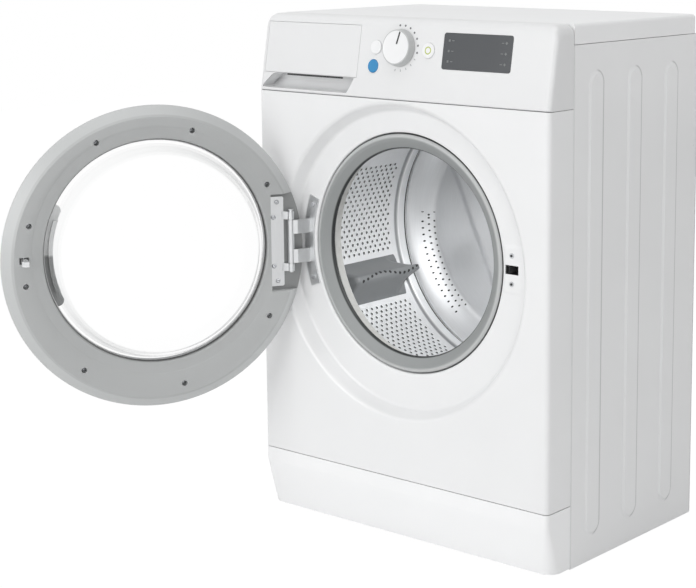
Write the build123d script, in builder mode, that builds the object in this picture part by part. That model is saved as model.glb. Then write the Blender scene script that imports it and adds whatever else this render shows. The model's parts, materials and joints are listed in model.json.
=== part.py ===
"""Slim front load washing machine with its round door open.

Millimetres. +X is right seen from the front, +Y is to the rear, +Z is up. The origin is on the floor,
midway between the four feet. Depths are measured back from the plane of the cabinet's front.
"""
import os
from math import cos, radians, sin, sqrt, tan

from build123d import *

os.makedirs("parts", exist_ok=True)

# Cabinet
cabinet_width = 595.0
cabinet_depth = 412.0
cabinet_height = 850.0
floor_gap = 10.0
sheet = 1.0
moulding = 3.0
seam_gap = 0.8
seat_gap = 0.3
front_wrap = 61.0
corner_radius = 8.0
plinth_top_z = 113.0
plinth_front_inset = 13.0
plinth_side_inset = 8.0
panel_height = 125.5
lid_height = 30.5
flange_width = 18.0
side_flange = 12.0
rib_depths = (118.0, 223.0, 328.5)
rib_width = 38.0
rib_bottom_z = 53.0
rib_top_gap = 42.5
rib_height = 2.5
top_edge_radius = 6.0
top_rear_radius = 18.0

# Front dish and porthole
dish_z = 465.5
dish_radius = 252.0
dish_floor_radius = 241.0
dish_depth = 24.0
dish_lip = 6.0
dish_lip_radius = 8.0
dish_floor_fillet = 5.0
porthole_z = 477.0
porthole_radius = 194.0
porthole_flange = 12.0

# Control panel
panel_lean = 10.0
panel_top_radius = 14.0
display_x = 152.0
display_up = 80.7
display_width = 132.0
display_height = 56.0
display_corner = 4.0
window_thickness = 2.6
knob_x = 0.0
knob_up = 81.5
knob_radius = 30.0
knob_face_radius = 26.5
knob_height = 12.0
knob_stem_radius = 5.0
button_travel = 1.5
button_proud = 2.0
buttons = {
    "power_button": (-49.0, 80.7, 11.0),
    "start_button": (57.5, 79.7, 12.0),
    "quick_button": (-51.5, 50.8, 10.5),
}
board_left_x = -75.0
board_right_x = 228.0
board_low = 32.0
board_high = 114.0
board_thickness = 20.0
button_pocket = 6.0

# Detergent drawer
drawer_left_x = -288.0
drawer_right_x = -85.0
drawer_low = 31.0
drawer_high = 114.0
drawer_gap = 0.5
grip_left_x = -279.0
grip_right_x = -89.0
grip_rise = 4.5
grip_height = 24.0
grip_depth = 36.0
grip_round = 16.0
grip_cut_rise = 69.0
tray_side_gap = 8.0
tray_rise = 32.5
tray_height = 49.0
tray_front_depth = 20.3
tray_length = 214.0
tray_wall = 2.0
housing_front_depth = 43.0
housing_length = 220.0
housing_wall = 2.5
housing_clearance = 2.5
hose_shift = 40.0
hose_setback = 90.0
hose_radius = 16.0
hose_wall = 2.5

# Door: depths are those of the closed door
door_angle = 119.0
hinge_x = -224.0
hinge_depth = -6.0
rim_radius = 246.6
rim_depth = -16.0
ring_face_radius = 228.6
ring_face_depth = 2.0
ring_hole_radius = 180.0
ring_lip_radius = 184.0
glass_seat_depth = -9.0
glass_thickness = 5.0
glass_flange_radius = 186.0
glass_mouth_radius = 175.0
glass_wall_radius = 163.0
glass_wall_depth = 38.0
glass_end_radius = 126.0
glass_end_depth = 60.0
glass_crown = 6.0
glass_crown_radius = 45.0
frame_face_depth = -28.0
frame_hole_radius = 178.0
ring_screw_radius = 213.0
ring_screw_angles = (18.0, 64.0, 106.5, 149.0, 211.0, 260.0, 306.0, 352.0)
screw_head_radius = 4.2
screw_head_height = 2.2
screw_shank_radius = 1.8
screw_hole_radius = 2.0
pocket_left_x = -262.0
pocket_right_x = -188.0
pocket_half_height = 81.0
pocket_floor_depth = -14.0
pin_radius = 3.0
pin_half_length = 52.0
running_clearance = 0.05
barrel_radius = 5.5
leaf_thickness = 2.0
door_leaf_width = 25.0
door_leaf_half_height = 75.0
knuckle_inner = 37.0
knuckle_outer = 50.0
lug_inner = 13.0
lug_outer = 36.0
cabinet_leaf_inner = 199.0
cabinet_leaf_outer = 219.0
cabinet_leaf_half_angle = 20.5
hook_x = 212.0
hook_thickness = 8.0
hook_width = 7.0
hook_pivot_depth = -7.0
hook_reach = 34.0
hook_barb = 4.5
hook_pin_radius = 2.5
slot_width = 25.0
slot_height = 14.0
lock_height = 54.0
lock_depth = 34.0
lock_screw_offset = 22.0
handle_left_x = 148.0
handle_curve_radius = 164.0
handle_right_x = 220.0
handle_half_height = 82.0
handle_outer_depth = -31.0
handle_thickness = 5.0
handle_pivot_x = 205.0
handle_pivot_depth = -19.5
handle_pin_radius = 1.8
handle_clearance = 1.5
handle_swing_clearance = 3.5
handle_corner = 10.0
handle_lip_width = 7.0
handle_lip_depth = 6.0

# Seal, tub and drum
seal_wall = 3.0
seal_lip_radius = 168.0
seal_lip_depth = 38.0
seal_fold_radius = 180.0
seal_fold_length = 6.0
tub_neck_radius = 186.0
tub_neck_depth = 56.0
tub_front_depth = 66.0
tub_joint_depth = 205.0
hub_length = 27.0
tub_radius = 262.0
tub_wall = 4.0
tub_flange = 11.0
tub_flange_thickness = 4.0
tub_bolt_count = 10
tub_bolt_radius = 3.0
drum_radius = 236.0
drum_mouth_radius = 192.0
drum_front_depth = 74.0
drum_collar = 6.0
drum_end_gap = 14.0
drum_sheet = 1.0
bead_setback = 57.0
bead_height = 5.0
lifter_count = 3
lifter_first_angle = 204.0
lifter_height = 52.0
lifter_base = 74.0
lifter_back_gap = 25.0
perforation_radius = 2.2
perforation_rows = 6
perforation_columns = 6
perforation_pitch = 22.0
perforation_spacing = 26.0
panel_spread = 31.0
panel_front_gap = 41.0
shaft_radius = 15.0
shaft_stub = 2.0
bearing_radius = 31.0
bearing_width = 12.0
rear_clearance = 17.0
pulley_width = 14.0
pulley_radius = 140.0
motor_x = 70.0
motor_drop = 80.0
motor_radius = 72.0
motor_length = 130.0
motor_wall = 8.0
motor_shaft_radius = 7.0
motor_pulley_radius = 11.0
belt_thickness = 3.0

# Suspension, feet and water
spring_x = 272.0
spring_setback = 12.0
spring_radius = 11.0
spring_wire = 3.0
spring_length = 120.0
spring_drop = 24.0
spring_rod_radius = 2.5
bracket_drop = 35.5
lug_z = 604.0
lug_thickness = 14.0
damper_x = 150.0
damper_radius = 17.0
damper_rod_radius = 9.0
damper_top_z = 170.0
foot_x = 250.0
foot_inset = 81.0
foot_radius = 22.0
foot_pad_height = 8.0
foot_stud_radius = 5.0
foot_stud_top_z = 38.0
tray_rim = 20.0
tray_sheet = 2.0
foot_boss_height = 12.0
pump_x = 150.0
pump_z = 66.0
pump_radius = 34.0
pump_length = 110.0
pump_front_depth = 26.0
cap_thickness = 9.0
valve_x = -190.0
valve_drop = 37.5
valve_thread_radius = 13.2
valve_thread_length = 14.0
gland_x = 230.0
gland_drop = 49.5
gland_radius = 9.0
plug_radius = 17.0
plug_x = 215.0
plug_heights = (330.0, 650.0)
cover_radius = 168.0
cover_overlap = 12.0

# Derived places
half_width = cabinet_width / 2
front_y = -cabinet_depth / 2
hinge_y = front_y + hinge_depth
panel_cos = cos(radians(panel_lean))
rear_sheet_depth = cabinet_depth - sheet
panel_bottom_z = cabinet_height - panel_height
side_top_z = cabinet_height - lid_height
rib_top_z = side_top_z - rib_top_gap
grip_bottom_z = panel_bottom_z + grip_rise
grip_top_z = grip_bottom_z + grip_height
tray_bottom_z = panel_bottom_z + tray_rise
valve_z = side_top_z - valve_drop
gland_z = side_top_z - gland_drop
bracket_z = side_top_z - bracket_drop
spring_high_z = bracket_z - spring_drop
spring_low_z = spring_high_z - spring_length
spring_depth = housing_front_depth + housing_length + spring_setback + spring_radius
foot_y = cabinet_depth / 2 - foot_inset
pulley_depth = cabinet_depth - rear_clearance - pulley_width
shaft_end_depth = pulley_depth + pulley_width + shaft_stub
hub_end_depth = pulley_depth - shaft_stub
tub_back_depth = hub_end_depth - hub_length
drum_back_depth = tub_back_depth - drum_end_gap
bead_depth = drum_back_depth - bead_setback
motor_front_depth = tub_back_depth - motor_length
motor_z = porthole_z - tub_radius - motor_drop


def front_plane(depth):
    """Upright plane at a depth behind the front: its x is right, its y is up, it faces the front."""
    return Plane.XZ.offset(-(front_y + depth))


def level_plane(z):
    """Level plane at a height: its x is right, its y is the depth behind the front."""
    return Plane(origin=(0, front_y, z))


def depth_axis(x, z):
    """Axis running straight back from the front at a place on it."""
    return Axis((x, front_y, z), (0, 1, 0))


panel_plane = Plane(
    origin=(0, front_y, panel_bottom_z),
    x_dir=(1, 0, 0),
    z_dir=(0, -panel_cos, sin(radians(panel_lean))),
)

swing = Plane(
    origin=(hinge_x, hinge_y, 0),
    x_dir=(cos(radians(door_angle)), -sin(radians(door_angle)), 0),
    z_dir=(0, 0, 1),
)


def door_point(x, depth, z):
    """Where a point of the closed door stands once the door is swung open."""
    return swing.from_local_coords((x - hinge_x, depth - hinge_depth, z))


def door_plane(depth):
    """The open door's copy of front_plane."""
    return Plane(origin=door_point(0, depth, 0), x_dir=swing.x_dir, z_dir=-swing.y_dir)


def door_level(z):
    """The open door's copy of level_plane."""
    return Plane(origin=door_point(0, 0, z), x_dir=swing.x_dir, z_dir=(0, 0, 1))


def door_axis(x, z):
    """The open door's copy of depth_axis."""
    return Axis(door_point(x, 0, z), swing.y_dir)


def keep(piece, name):
    """Label a finished piece and write it out."""
    piece.part.label = name
    export_step(piece.part, f"parts/{name}.step")


def panel_depth(z):
    """Depth of the control panel's leaning face at a height."""
    return (z - panel_bottom_z) * tan(radians(panel_lean))


# Front panel: pressed sheet with side returns, a dish for the door and a flanged porthole
front_top_z = panel_bottom_z - seam_gap
wrap_end = front_y + front_wrap - seam_gap
leaf_screw_radius = (cabinet_leaf_inner + cabinet_leaf_outer) / 2
leaf_screw_angles = [180 + s * (cabinet_leaf_half_angle - 3.5) for s in (-1, 1)]
leaf_screws = [
    (leaf_screw_radius * cos(radians(a)), porthole_z + leaf_screw_radius * sin(radians(a)))
    for a in leaf_screw_angles
]
lock_screws = [(hook_x, porthole_z + s * lock_screw_offset) for s in (-1, 1)]

with BuildPart() as front_panel:
    with BuildSketch(Plane.XY.offset(plinth_top_z)):
        with BuildLine():
            FilletPolyline(
                (-half_width, wrap_end),
                (-half_width, front_y),
                (half_width, front_y),
                (half_width, wrap_end),
                radius=corner_radius,
            )
            offset(amount=sheet, side=Side.LEFT)
        make_face()
    extrude(amount=front_top_z - plinth_top_z)
    for flange_z in (plinth_top_z, front_top_z - sheet):
        with BuildSketch(Plane.XY.offset(flange_z)):
            with Locations((0, front_y + flange_width / 2 + sheet / 2)):
                Rectangle(cabinet_width - 2 * corner_radius, flange_width)
        extrude(amount=sheet)
    with BuildSketch(front_plane(0)):
        with Locations((0, dish_z)):
            Circle(dish_radius + dish_lip)
    extrude(amount=-flange_width - sheet, mode=Mode.SUBTRACT)
    with BuildSketch(level_plane(dish_z)):
        with BuildLine():
            FilletPolyline(
                (dish_radius + dish_lip, 0),
                (dish_radius, 0),
                (dish_floor_radius, dish_depth),
                (porthole_radius - 2 * (porthole_z - dish_z), dish_depth),
                radius=(dish_lip_radius, dish_floor_fillet),
            )
            offset(amount=sheet, side=Side.RIGHT)
        make_face()
    revolve(axis=depth_axis(0, dish_z))
    with BuildSketch(front_plane(dish_depth - sheet)):
        with Locations((0, porthole_z)):
            Circle(porthole_radius)
    extrude(amount=-4 * sheet, mode=Mode.SUBTRACT)
    with BuildSketch(front_plane(dish_depth)):
        with Locations((0, porthole_z)):
            Circle(porthole_radius + sheet)
            Circle(porthole_radius, mode=Mode.SUBTRACT)
    extrude(amount=-porthole_flange)
    with BuildSketch(front_plane(dish_depth - sheet)):
        with Locations((hook_x, porthole_z)):
            Rectangle(slot_width, slot_height)
        with Locations(*leaf_screws, *lock_screws):
            Circle(screw_hole_radius)
    extrude(amount=-4 * sheet, mode=Mode.SUBTRACT)
keep(front_panel, "front_panel")

# Plinth: moulded skirt that draws in towards the floor
plinth_bottom_z = floor_gap + 2
plinth_high_z = plinth_top_z - seam_gap


def plinth_outline(front_inset, side_inset, wall):
    """Rounded U of the plinth, drawn in from the cabinet's faces by the insets and a wall."""
    x = half_width - side_inset - wall
    y = front_y + front_inset + wall
    back = wrap_end + wall
    radius = corner_radius - wall
    FilletPolyline(
        (-x, back), (-x, y), (x, y), (x, back), radius=(0, radius, radius, 0), close=True
    )


with BuildPart() as plinth:
    for wall, action in ((0, Mode.ADD), (moulding, Mode.SUBTRACT)):
        with BuildSketch(Plane.XY.offset(plinth_bottom_z)):
            with BuildLine():
                plinth_outline(plinth_front_inset, plinth_side_inset, wall)
            make_face()
        with BuildSketch(Plane.XY.offset(plinth_high_z)):
            with BuildLine():
                plinth_outline(0, 0, wall)
            make_face()
        loft(mode=action)
keep(plinth, "plinth")

# Control panel: leaning moulding with openings for the drawer, knob, buttons and display
panel_end = front_y + front_wrap
with BuildPart() as control_panel:
    with BuildSketch(Plane.YZ.offset(-half_width)):
        with BuildLine():
            FilletPolyline(
                (front_y, panel_bottom_z),
                (front_y + panel_depth(cabinet_height), cabinet_height),
                (panel_end, cabinet_height),
                (panel_end, panel_bottom_z),
                radius=(0, panel_top_radius, 0, 0),
                close=True,
            )
        make_face()
    extrude(amount=cabinet_width)
    ends = control_panel.edges().group_by(Axis.X)
    rounded = (ends[0] + ends[-1]).filter_by(
        lambda e: e.center().Y < panel_end - seam_gap and e.center().Z > panel_bottom_z + seam_gap
    )
    fillet(rounded, radius=corner_radius)
    back_face = control_panel.faces().sort_by(Axis.Y)[-1]
    bottom_face = control_panel.faces().sort_by(Axis.Z)[0]
    offset(amount=-moulding, openings=[back_face, bottom_face])
    with BuildSketch(panel_plane):
        with Locations(((drawer_left_x + drawer_right_x) / 2, (drawer_low + drawer_high) / 2)):
            Rectangle(
                drawer_right_x - drawer_left_x + 2 * drawer_gap, drawer_high - drawer_low + 2 * drawer_gap
            )
        with Locations((display_x, display_up)):
            RectangleRounded(
                display_width + 2 * seat_gap, display_height + 2 * seat_gap, display_corner + seat_gap
            )
        with Locations((knob_x, knob_up)):
            Circle(knob_stem_radius + seat_gap)
        for button_x, button_up, button_radius in buttons.values():
            with Locations((button_x, button_up)):
                Circle(button_radius + seat_gap)
    extrude(amount=-2 * moulding, mode=Mode.SUBTRACT)
    grip_x = (grip_left_x + grip_right_x) / 2
    grip_width = grip_right_x - grip_left_x
    grip_z = (grip_bottom_z + grip_top_z) / 2
    with BuildSketch(front_plane(moulding)):
        with Locations((grip_x, grip_z - moulding / 2)):
            Rectangle(grip_width + 2 * moulding, grip_height + moulding)
    extrude(amount=-(grip_depth))
    with BuildSketch(Plane.YZ.offset(grip_left_x)):
        with BuildLine():
            FilletPolyline(
                (front_y - moulding, grip_bottom_z),
                (front_y + grip_depth, grip_bottom_z),
                (front_y + grip_depth, grip_top_z + grip_cut_rise),
                (front_y - moulding, grip_top_z + grip_cut_rise),
                radius=(0, grip_round, 0, 0),
                close=True,
            )
        make_face()
    extrude(amount=grip_width, mode=Mode.SUBTRACT)
keep(control_panel, "control_panel")

# Display window, flush in its opening
with BuildPart() as display_window:
    with BuildSketch(panel_plane):
        with Locations((display_x, display_up)):
            RectangleRounded(display_width, display_height, display_corner)
    extrude(amount=-window_thickness)
keep(display_window, "display_window")

# Control board in its carrier, close behind the panel's wall
board_front = -(moulding + seat_gap)
with BuildPart() as control_board:
    with BuildSketch(panel_plane.offset(board_front)):
        with Locations(((board_left_x + board_right_x) / 2, (board_low + board_high) / 2)):
            Rectangle(board_right_x - board_left_x, board_high - board_low)
    extrude(amount=-board_thickness)
    with BuildSketch(panel_plane.offset(board_front)):
        for button_x, button_up, button_radius in buttons.values():
            with Locations((button_x, button_up)):
                Circle(button_radius + 2 * seat_gap)
        with Locations((knob_x, knob_up)):
            Circle(knob_stem_radius + seat_gap)
    extrude(amount=-button_pocket, mode=Mode.SUBTRACT)
keep(control_board, "control_board")

# Programme knob: a skirted cap on a stem
with BuildPart() as program_knob:
    with BuildSketch(panel_plane.offset(seat_gap)):
        with Locations((knob_x, knob_up)):
            Circle(knob_radius)
    with BuildSketch(panel_plane.offset(seat_gap + knob_height)):
        with Locations((knob_x, knob_up)):
            Circle(knob_face_radius)
    loft()
    fillet(program_knob.edges().sort_by(Axis.Y)[0], radius=2)
    with BuildSketch(panel_plane.offset(seat_gap)):
        with Locations((knob_x, knob_up)):
            Circle(knob_stem_radius)
    extrude(amount=-(moulding + button_pocket))
keep(program_knob, "program_knob")

# Push buttons: a cap in the panel and a stem that reaches the board
for button_name, (button_x, button_up, button_radius) in buttons.items():
    with BuildPart() as button:
        with BuildSketch(panel_plane.offset(button_proud)):
            with Locations((button_x, button_up)):
                Circle(button_radius)
        extrude(amount=-(button_proud + moulding - seat_gap))
        fillet(button.edges().sort_by(Axis.Y)[0], radius=0.8)
        with BuildSketch(panel_plane):
            with Locations((button_x, button_up)):
                Circle(button_radius / 3)
        extrude(amount=board_front - button_pocket + button_travel + seat_gap)
    keep(button, button_name)

# Detergent drawer: leaning front, tray and siphon cap
drawer_x = (drawer_left_x + drawer_right_x) / 2
drawer_span = drawer_right_x - drawer_left_x
tray_width = drawer_span - 2 * tray_side_gap
tray_top_z = tray_bottom_z + tray_height
rib_offset = tray_width / 2 - 2 * tray_wall

with BuildPart() as drawer_front:
    with BuildSketch(panel_plane):
        with Locations((drawer_x, (drawer_low + drawer_high) / 2)):
            Rectangle(drawer_span, drawer_high - drawer_low)
    extrude(amount=-moulding)
    with BuildSketch(panel_plane):
        with Locations((grip_x, drawer_low + moulding / 2)):
            Rectangle(grip_width - 2 * seam_gap, moulding)
    extrude(amount=-3 * moulding)
    for side in (-1, 1):
        with BuildSketch(Plane.YZ.offset(drawer_x + side * rib_offset - moulding / 2)):
            with BuildLine():
                Polyline(
                    (front_y + panel_depth(tray_bottom_z) + moulding / 2, tray_bottom_z),
                    (front_y + tray_front_depth - seat_gap, tray_bottom_z),
                    (front_y + tray_front_depth - seat_gap, tray_top_z),
                    (front_y + panel_depth(tray_top_z) + moulding / 2, tray_top_z),
                    close=True,
                )
            make_face()
        extrude(amount=moulding)
keep(drawer_front, "drawer_front")

with BuildPart() as drawer_tray:
    with BuildSketch(level_plane(tray_bottom_z)):
        with Locations((drawer_x, tray_front_depth + tray_length / 2)):
            RectangleRounded(tray_width, tray_length, 6)
    extrude(amount=tray_height)
    cell_width = (tray_width - 4 * tray_wall) / 3
    with BuildSketch(level_plane(tray_bottom_z + tray_wall)):
        for cell in (-1, 0, 1):
            with Locations(
                (drawer_x + cell * (cell_width + tray_wall), tray_front_depth + tray_length / 2)
            ):
                RectangleRounded(cell_width, tray_length - 2 * tray_wall, 4)
    extrude(amount=tray_height, mode=Mode.SUBTRACT)
keep(drawer_tray, "drawer_tray")

siphon_length = 46.0
siphon_height = 30.0
with BuildPart() as siphon_cap:
    with BuildSketch(level_plane(tray_bottom_z + tray_wall + seat_gap)):
        with Locations((drawer_x, tray_front_depth + tray_length - tray_wall - siphon_length / 2 - seat_gap)):
            RectangleRounded(cell_width - 2 * seat_gap, siphon_length, 5)
    extrude(amount=siphon_height)
    fillet(siphon_cap.faces().sort_by(Axis.Z)[-1].edges(), radius=3)
keep(siphon_cap, "siphon_cap")

# Dispenser housing round the tray, with two runners under it
housing_bottom_z = tray_bottom_z - housing_clearance - housing_wall
housing_top_z = tray_top_z + housing_clearance + housing_wall
housing_width = tray_width + 2 * (housing_clearance + housing_wall)
hose_x = drawer_x + hose_shift
hose_depth = housing_front_depth + hose_setback
spigot_radius = hose_radius - hose_wall - seat_gap
spigot_length = 15.0
with BuildPart() as dispenser_housing:
    with BuildSketch(front_plane(housing_front_depth)):
        with Locations((drawer_x, (housing_bottom_z + housing_top_z) / 2)):
            Rectangle(housing_width, housing_top_z - housing_bottom_z)
    extrude(amount=-housing_length)
    with BuildSketch(front_plane(housing_front_depth)):
        with Locations((drawer_x, (housing_bottom_z + housing_top_z) / 2)):
            Rectangle(housing_width - 2 * housing_wall, housing_top_z - housing_bottom_z - 2 * housing_wall)
    extrude(amount=-(housing_length - housing_wall), mode=Mode.SUBTRACT)
    for side in (-1, 1):
        with BuildSketch(level_plane(housing_bottom_z + housing_wall)):
            with Locations((drawer_x + side * rib_offset, housing_front_depth + housing_length / 2)):
                Rectangle(2 * housing_wall, housing_length - 2 * housing_wall)
        extrude(amount=housing_clearance - seat_gap)
    with BuildSketch(level_plane(housing_bottom_z)):
        with Locations((hose_x, hose_depth)):
            Circle(spigot_radius)
    extrude(amount=-spigot_length)
    with BuildSketch(level_plane(housing_bottom_z - spigot_length)):
        with Locations((hose_x, hose_depth)):
            Circle(spigot_radius - housing_wall)
    extrude(amount=spigot_length + housing_wall, mode=Mode.SUBTRACT)
keep(dispenser_housing, "dispenser_housing")

# Inlet valve: a solenoid body behind the dispenser with its thread through the rear panel
valve_front_depth = housing_front_depth + housing_length + seat_gap
valve_bore_wall = 4.0
valve_body = 32.0
thread_start = cabinet_depth + seat_gap
with BuildPart() as inlet_valve:
    with BuildSketch(front_plane(valve_front_depth)):
        with Locations((valve_x, valve_z)):
            Circle(valve_thread_radius - valve_bore_wall)
    extrude(amount=-(rear_sheet_depth - valve_front_depth - valve_body / 2))
    with BuildSketch(front_plane(rear_sheet_depth - valve_body)):
        with Locations((valve_x, valve_z)):
            RectangleRounded(valve_body + 12, valve_body + 20, 6)
    extrude(amount=-(valve_body - seat_gap))
    with BuildSketch(front_plane(rear_sheet_depth - seat_gap)):
        with Locations((valve_x, valve_z)):
            Circle(valve_thread_radius - seat_gap)
    extrude(amount=-(sheet + 2 * seat_gap))
    with BuildSketch(front_plane(thread_start)):
        with Locations((valve_x, valve_z)):
            Circle(valve_thread_radius)
    extrude(amount=-valve_thread_length)
    with BuildSketch(front_plane(thread_start + valve_thread_length)):
        with Locations((valve_x, valve_z)):
            Circle(valve_thread_radius - valve_bore_wall)
    extrude(amount=valve_thread_length, mode=Mode.SUBTRACT)
keep(inlet_valve, "inlet_valve")

# Side panels: folded sheet with three raised upright ribs and a welded spring bracket
rib_length = rib_top_z - rib_bottom_z
side_front = front_y + front_wrap
side_back = front_y + rear_sheet_depth - seat_gap
rear_screw_heights = (70.0, 300.0, 530.0, 760.0)
rear_screw_x = half_width - side_flange / 2 - sheet
bracket_reach = half_width - spring_x + spring_radius
with BuildPart() as side_panel_right:
    with BuildSketch(Plane.XY.offset(floor_gap)):
        with BuildLine():
            FilletPolyline(
                (half_width - side_flange, side_front),
                (half_width, side_front),
                (half_width, side_back),
                (half_width - side_flange, side_back),
                radius=2,
            )
            offset(amount=sheet, side=Side.LEFT)
        make_face()
    extrude(amount=side_top_z - seam_gap - floor_gap)
    for flange_z in (floor_gap, side_top_z - seam_gap - sheet):
        with BuildSketch(Plane.XY.offset(flange_z)):
            with Locations((half_width - side_flange / 2 - sheet / 2, (side_front + side_back) / 2)):
                Rectangle(side_flange, side_back - side_front - 2 * sheet)
        extrude(amount=sheet)
    for rib_depth in rib_depths:
        with BuildSketch(Plane.YZ.offset(half_width - sheet)):
            with Locations((front_y + rib_depth, (rib_bottom_z + rib_top_z) / 2)):
                SlotOverall(rib_length, rib_width, rotation=90)
        extrude(amount=rib_height + sheet, taper=35)
        with BuildSketch(Plane.YZ.offset(half_width - sheet)):
            with Locations((front_y + rib_depth, (rib_bottom_z + rib_top_z) / 2)):
                SlotOverall(rib_length - 4 * sheet, rib_width - 4 * sheet, rotation=90)
        extrude(amount=rib_height, taper=35, mode=Mode.SUBTRACT)
    with BuildSketch(Plane.XY.offset(bracket_z)):
        with Locations((half_width - sheet / 2 - bracket_reach / 2, front_y + spring_depth)):
            Rectangle(bracket_reach, 2 * spring_radius)
        with Locations((spring_x, front_y + spring_depth)):
            Circle(spring_rod_radius + seat_gap, mode=Mode.SUBTRACT)
    extrude(amount=3 * sheet)
    with BuildSketch(front_plane(rear_sheet_depth - seat_gap)):
        for screw_z in rear_screw_heights:
            with Locations((rear_screw_x, screw_z)):
                Circle(screw_hole_radius)
    extrude(amount=3 * sheet, mode=Mode.SUBTRACT)
keep(side_panel_right, "side_panel_right")

with BuildPart() as side_panel_left:
    mirror(side_panel_right.part, about=Plane.YZ)
keep(side_panel_left, "side_panel_left")

# Rear panel with an access opening round the pulleys, its cover, the transit plugs and the mains gland
cover_screw_angles = (40.0, 140.0, 180.0, 0.0)
cover_screws = [
    (
        (cover_radius + cover_overlap / 2) * cos(radians(a)),
        porthole_z + (cover_radius + cover_overlap / 2) * sin(radians(a)),
    )
    for a in cover_screw_angles
]
plugs = [(s * plug_x, z) for s in (-1, 1) for z in plug_heights]
motor_lobe = 46.0
rear_screws = [(s * rear_screw_x, z) for s in (-1, 1) for z in rear_screw_heights]


def access_outline(margin):
    """Outline of the access opening: a circle round the drum pulley drawn down to one round the motor's."""
    with Locations((0, porthole_z)):
        Circle(cover_radius + margin)
    with Locations((motor_x, motor_z)):
        Circle(motor_lobe + margin)
    make_hull()


with BuildPart() as rear_panel:
    with BuildSketch(front_plane(rear_sheet_depth)):
        with Locations((0, (floor_gap + side_top_z) / 2)):
            Rectangle(cabinet_width - 2 * seam_gap, side_top_z - floor_gap - 2 * seam_gap)
    extrude(amount=-sheet)
    with BuildSketch(front_plane(rear_sheet_depth)):
        access_outline(0)
    extrude(amount=-sheet, mode=Mode.SUBTRACT)
    with BuildSketch(front_plane(rear_sheet_depth)):
        with Locations(*rear_screws, *cover_screws):
            Circle(screw_hole_radius)
        with Locations(*plugs):
            Circle(plug_radius)
        with Locations((valve_x, valve_z)):
            Circle(valve_thread_radius + seat_gap)
        with Locations((gland_x, gland_z)):
            Circle(gland_radius)
    extrude(amount=-sheet, mode=Mode.SUBTRACT)
keep(rear_panel, "rear_panel")

with BuildPart() as rear_access_cover:
    with BuildSketch(front_plane(cabinet_depth + seat_gap)):
        access_outline(cover_overlap)
        with Locations(*cover_screws):
            Circle(screw_hole_radius, mode=Mode.SUBTRACT)
    extrude(amount=-sheet)
keep(rear_access_cover, "rear_access_cover")

with BuildPart() as transit_plugs:
    with BuildSketch(front_plane(rear_sheet_depth - 2 * sheet)):
        with Locations(*plugs):
            Circle(plug_radius - seat_gap)
    extrude(amount=-(3 * sheet + seat_gap))
    with BuildSketch(front_plane(cabinet_depth + seat_gap)):
        with Locations(*plugs):
            Circle(plug_radius + 4)
    extrude(amount=-2 * sheet)
keep(transit_plugs, "transit_plugs")

with BuildPart() as cord_gland:
    with BuildSketch(front_plane(rear_sheet_depth - 3 * sheet)):
        with Locations((gland_x, gland_z)):
            Circle(gland_radius - seat_gap)
    extrude(amount=-(4 * sheet + seat_gap))
    with BuildSketch(front_plane(cabinet_depth + seat_gap)):
        with Locations((gland_x, gland_z)):
            Circle(gland_radius + 4)
    extrude(amount=-6 * sheet)
    with BuildSketch(front_plane(rear_sheet_depth - 3 * sheet)):
        with Locations((gland_x, gland_z)):
            Circle(gland_radius / 2)
    extrude(amount=-12 * sheet, mode=Mode.SUBTRACT)
keep(cord_gland, "cord_gland")

# Top cover: a shallow tray-like lid with rounded rear corners
top_length = cabinet_depth - front_wrap - seam_gap
with BuildPart() as top_cover:
    with BuildSketch(level_plane(side_top_z)):
        with Locations((0, front_wrap + seam_gap + top_length / 2)):
            Rectangle(cabinet_width, top_length)
    extrude(amount=cabinet_height - side_top_z)
    fillet(top_cover.edges().filter_by(Axis.Z).group_by(Axis.Y)[-1], radius=top_rear_radius)
    top_face = top_cover.faces().sort_by(Axis.Z)[-1]
    fillet(
        top_face.edges().filter_by(lambda e: e.center().Y > front_y + front_wrap + 2 * seam_gap),
        radius=top_edge_radius,
    )
    offset(amount=-moulding, openings=top_cover.faces().sort_by(Axis.Z)[0])
keep(top_cover, "top_cover")

# Base tray with a boss over each foot
tray_floor_z = floor_gap + sheet + seat_gap
feet_places = [(s * foot_x, t * foot_y) for s in (-1, 1) for t in (-1, 1)]
base_width = cabinet_width - 2 * (sheet + seat_gap)
base_front = side_front + sheet + seat_gap
base_back = side_back - sheet - seat_gap
base_y = (base_front + base_back) / 2
with BuildPart() as base_tray:
    with BuildSketch(Plane.XY.offset(tray_floor_z)):
        with Locations((0, base_y)):
            RectangleRounded(base_width, base_back - base_front, corner_radius)
    extrude(amount=tray_rim)
    with BuildSketch(Plane.XY.offset(tray_floor_z + tray_sheet)):
        with Locations((0, base_y)):
            RectangleRounded(
                base_width - 2 * tray_sheet,
                base_back - base_front - 2 * tray_sheet,
                corner_radius - tray_sheet,
            )
    extrude(amount=tray_rim, mode=Mode.SUBTRACT)
    with BuildSketch(Plane.XY.offset(tray_floor_z)):
        with Locations(*feet_places):
            Circle(3 * foot_stud_radius)
    extrude(amount=foot_boss_height)
    with BuildSketch(Plane.XY.offset(tray_floor_z)):
        with Locations(*feet_places):
            Circle(foot_stud_radius + running_clearance)
    extrude(amount=foot_boss_height, mode=Mode.SUBTRACT)
keep(base_tray, "base_tray")

with BuildPart() as feet:
    with BuildSketch():
        with Locations(*feet_places):
            Circle(foot_radius)
    extrude(amount=foot_pad_height)
    with BuildSketch(Plane.XY.offset(foot_pad_height)):
        with Locations(*feet_places):
            Circle(foot_stud_radius)
    extrude(amount=foot_stud_top_z - foot_pad_height)
keep(feet, "feet")

with BuildPart() as foot_nuts:
    with BuildSketch(Plane.XY.offset(tray_floor_z + foot_boss_height + seat_gap)):
        with Locations(*feet_places):
            RegularPolygon(radius=1.8 * foot_stud_radius, side_count=6)
            Circle(foot_stud_radius + running_clearance, mode=Mode.SUBTRACT)
    extrude(amount=foot_stud_radius)
keep(foot_nuts, "foot_nuts")

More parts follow.
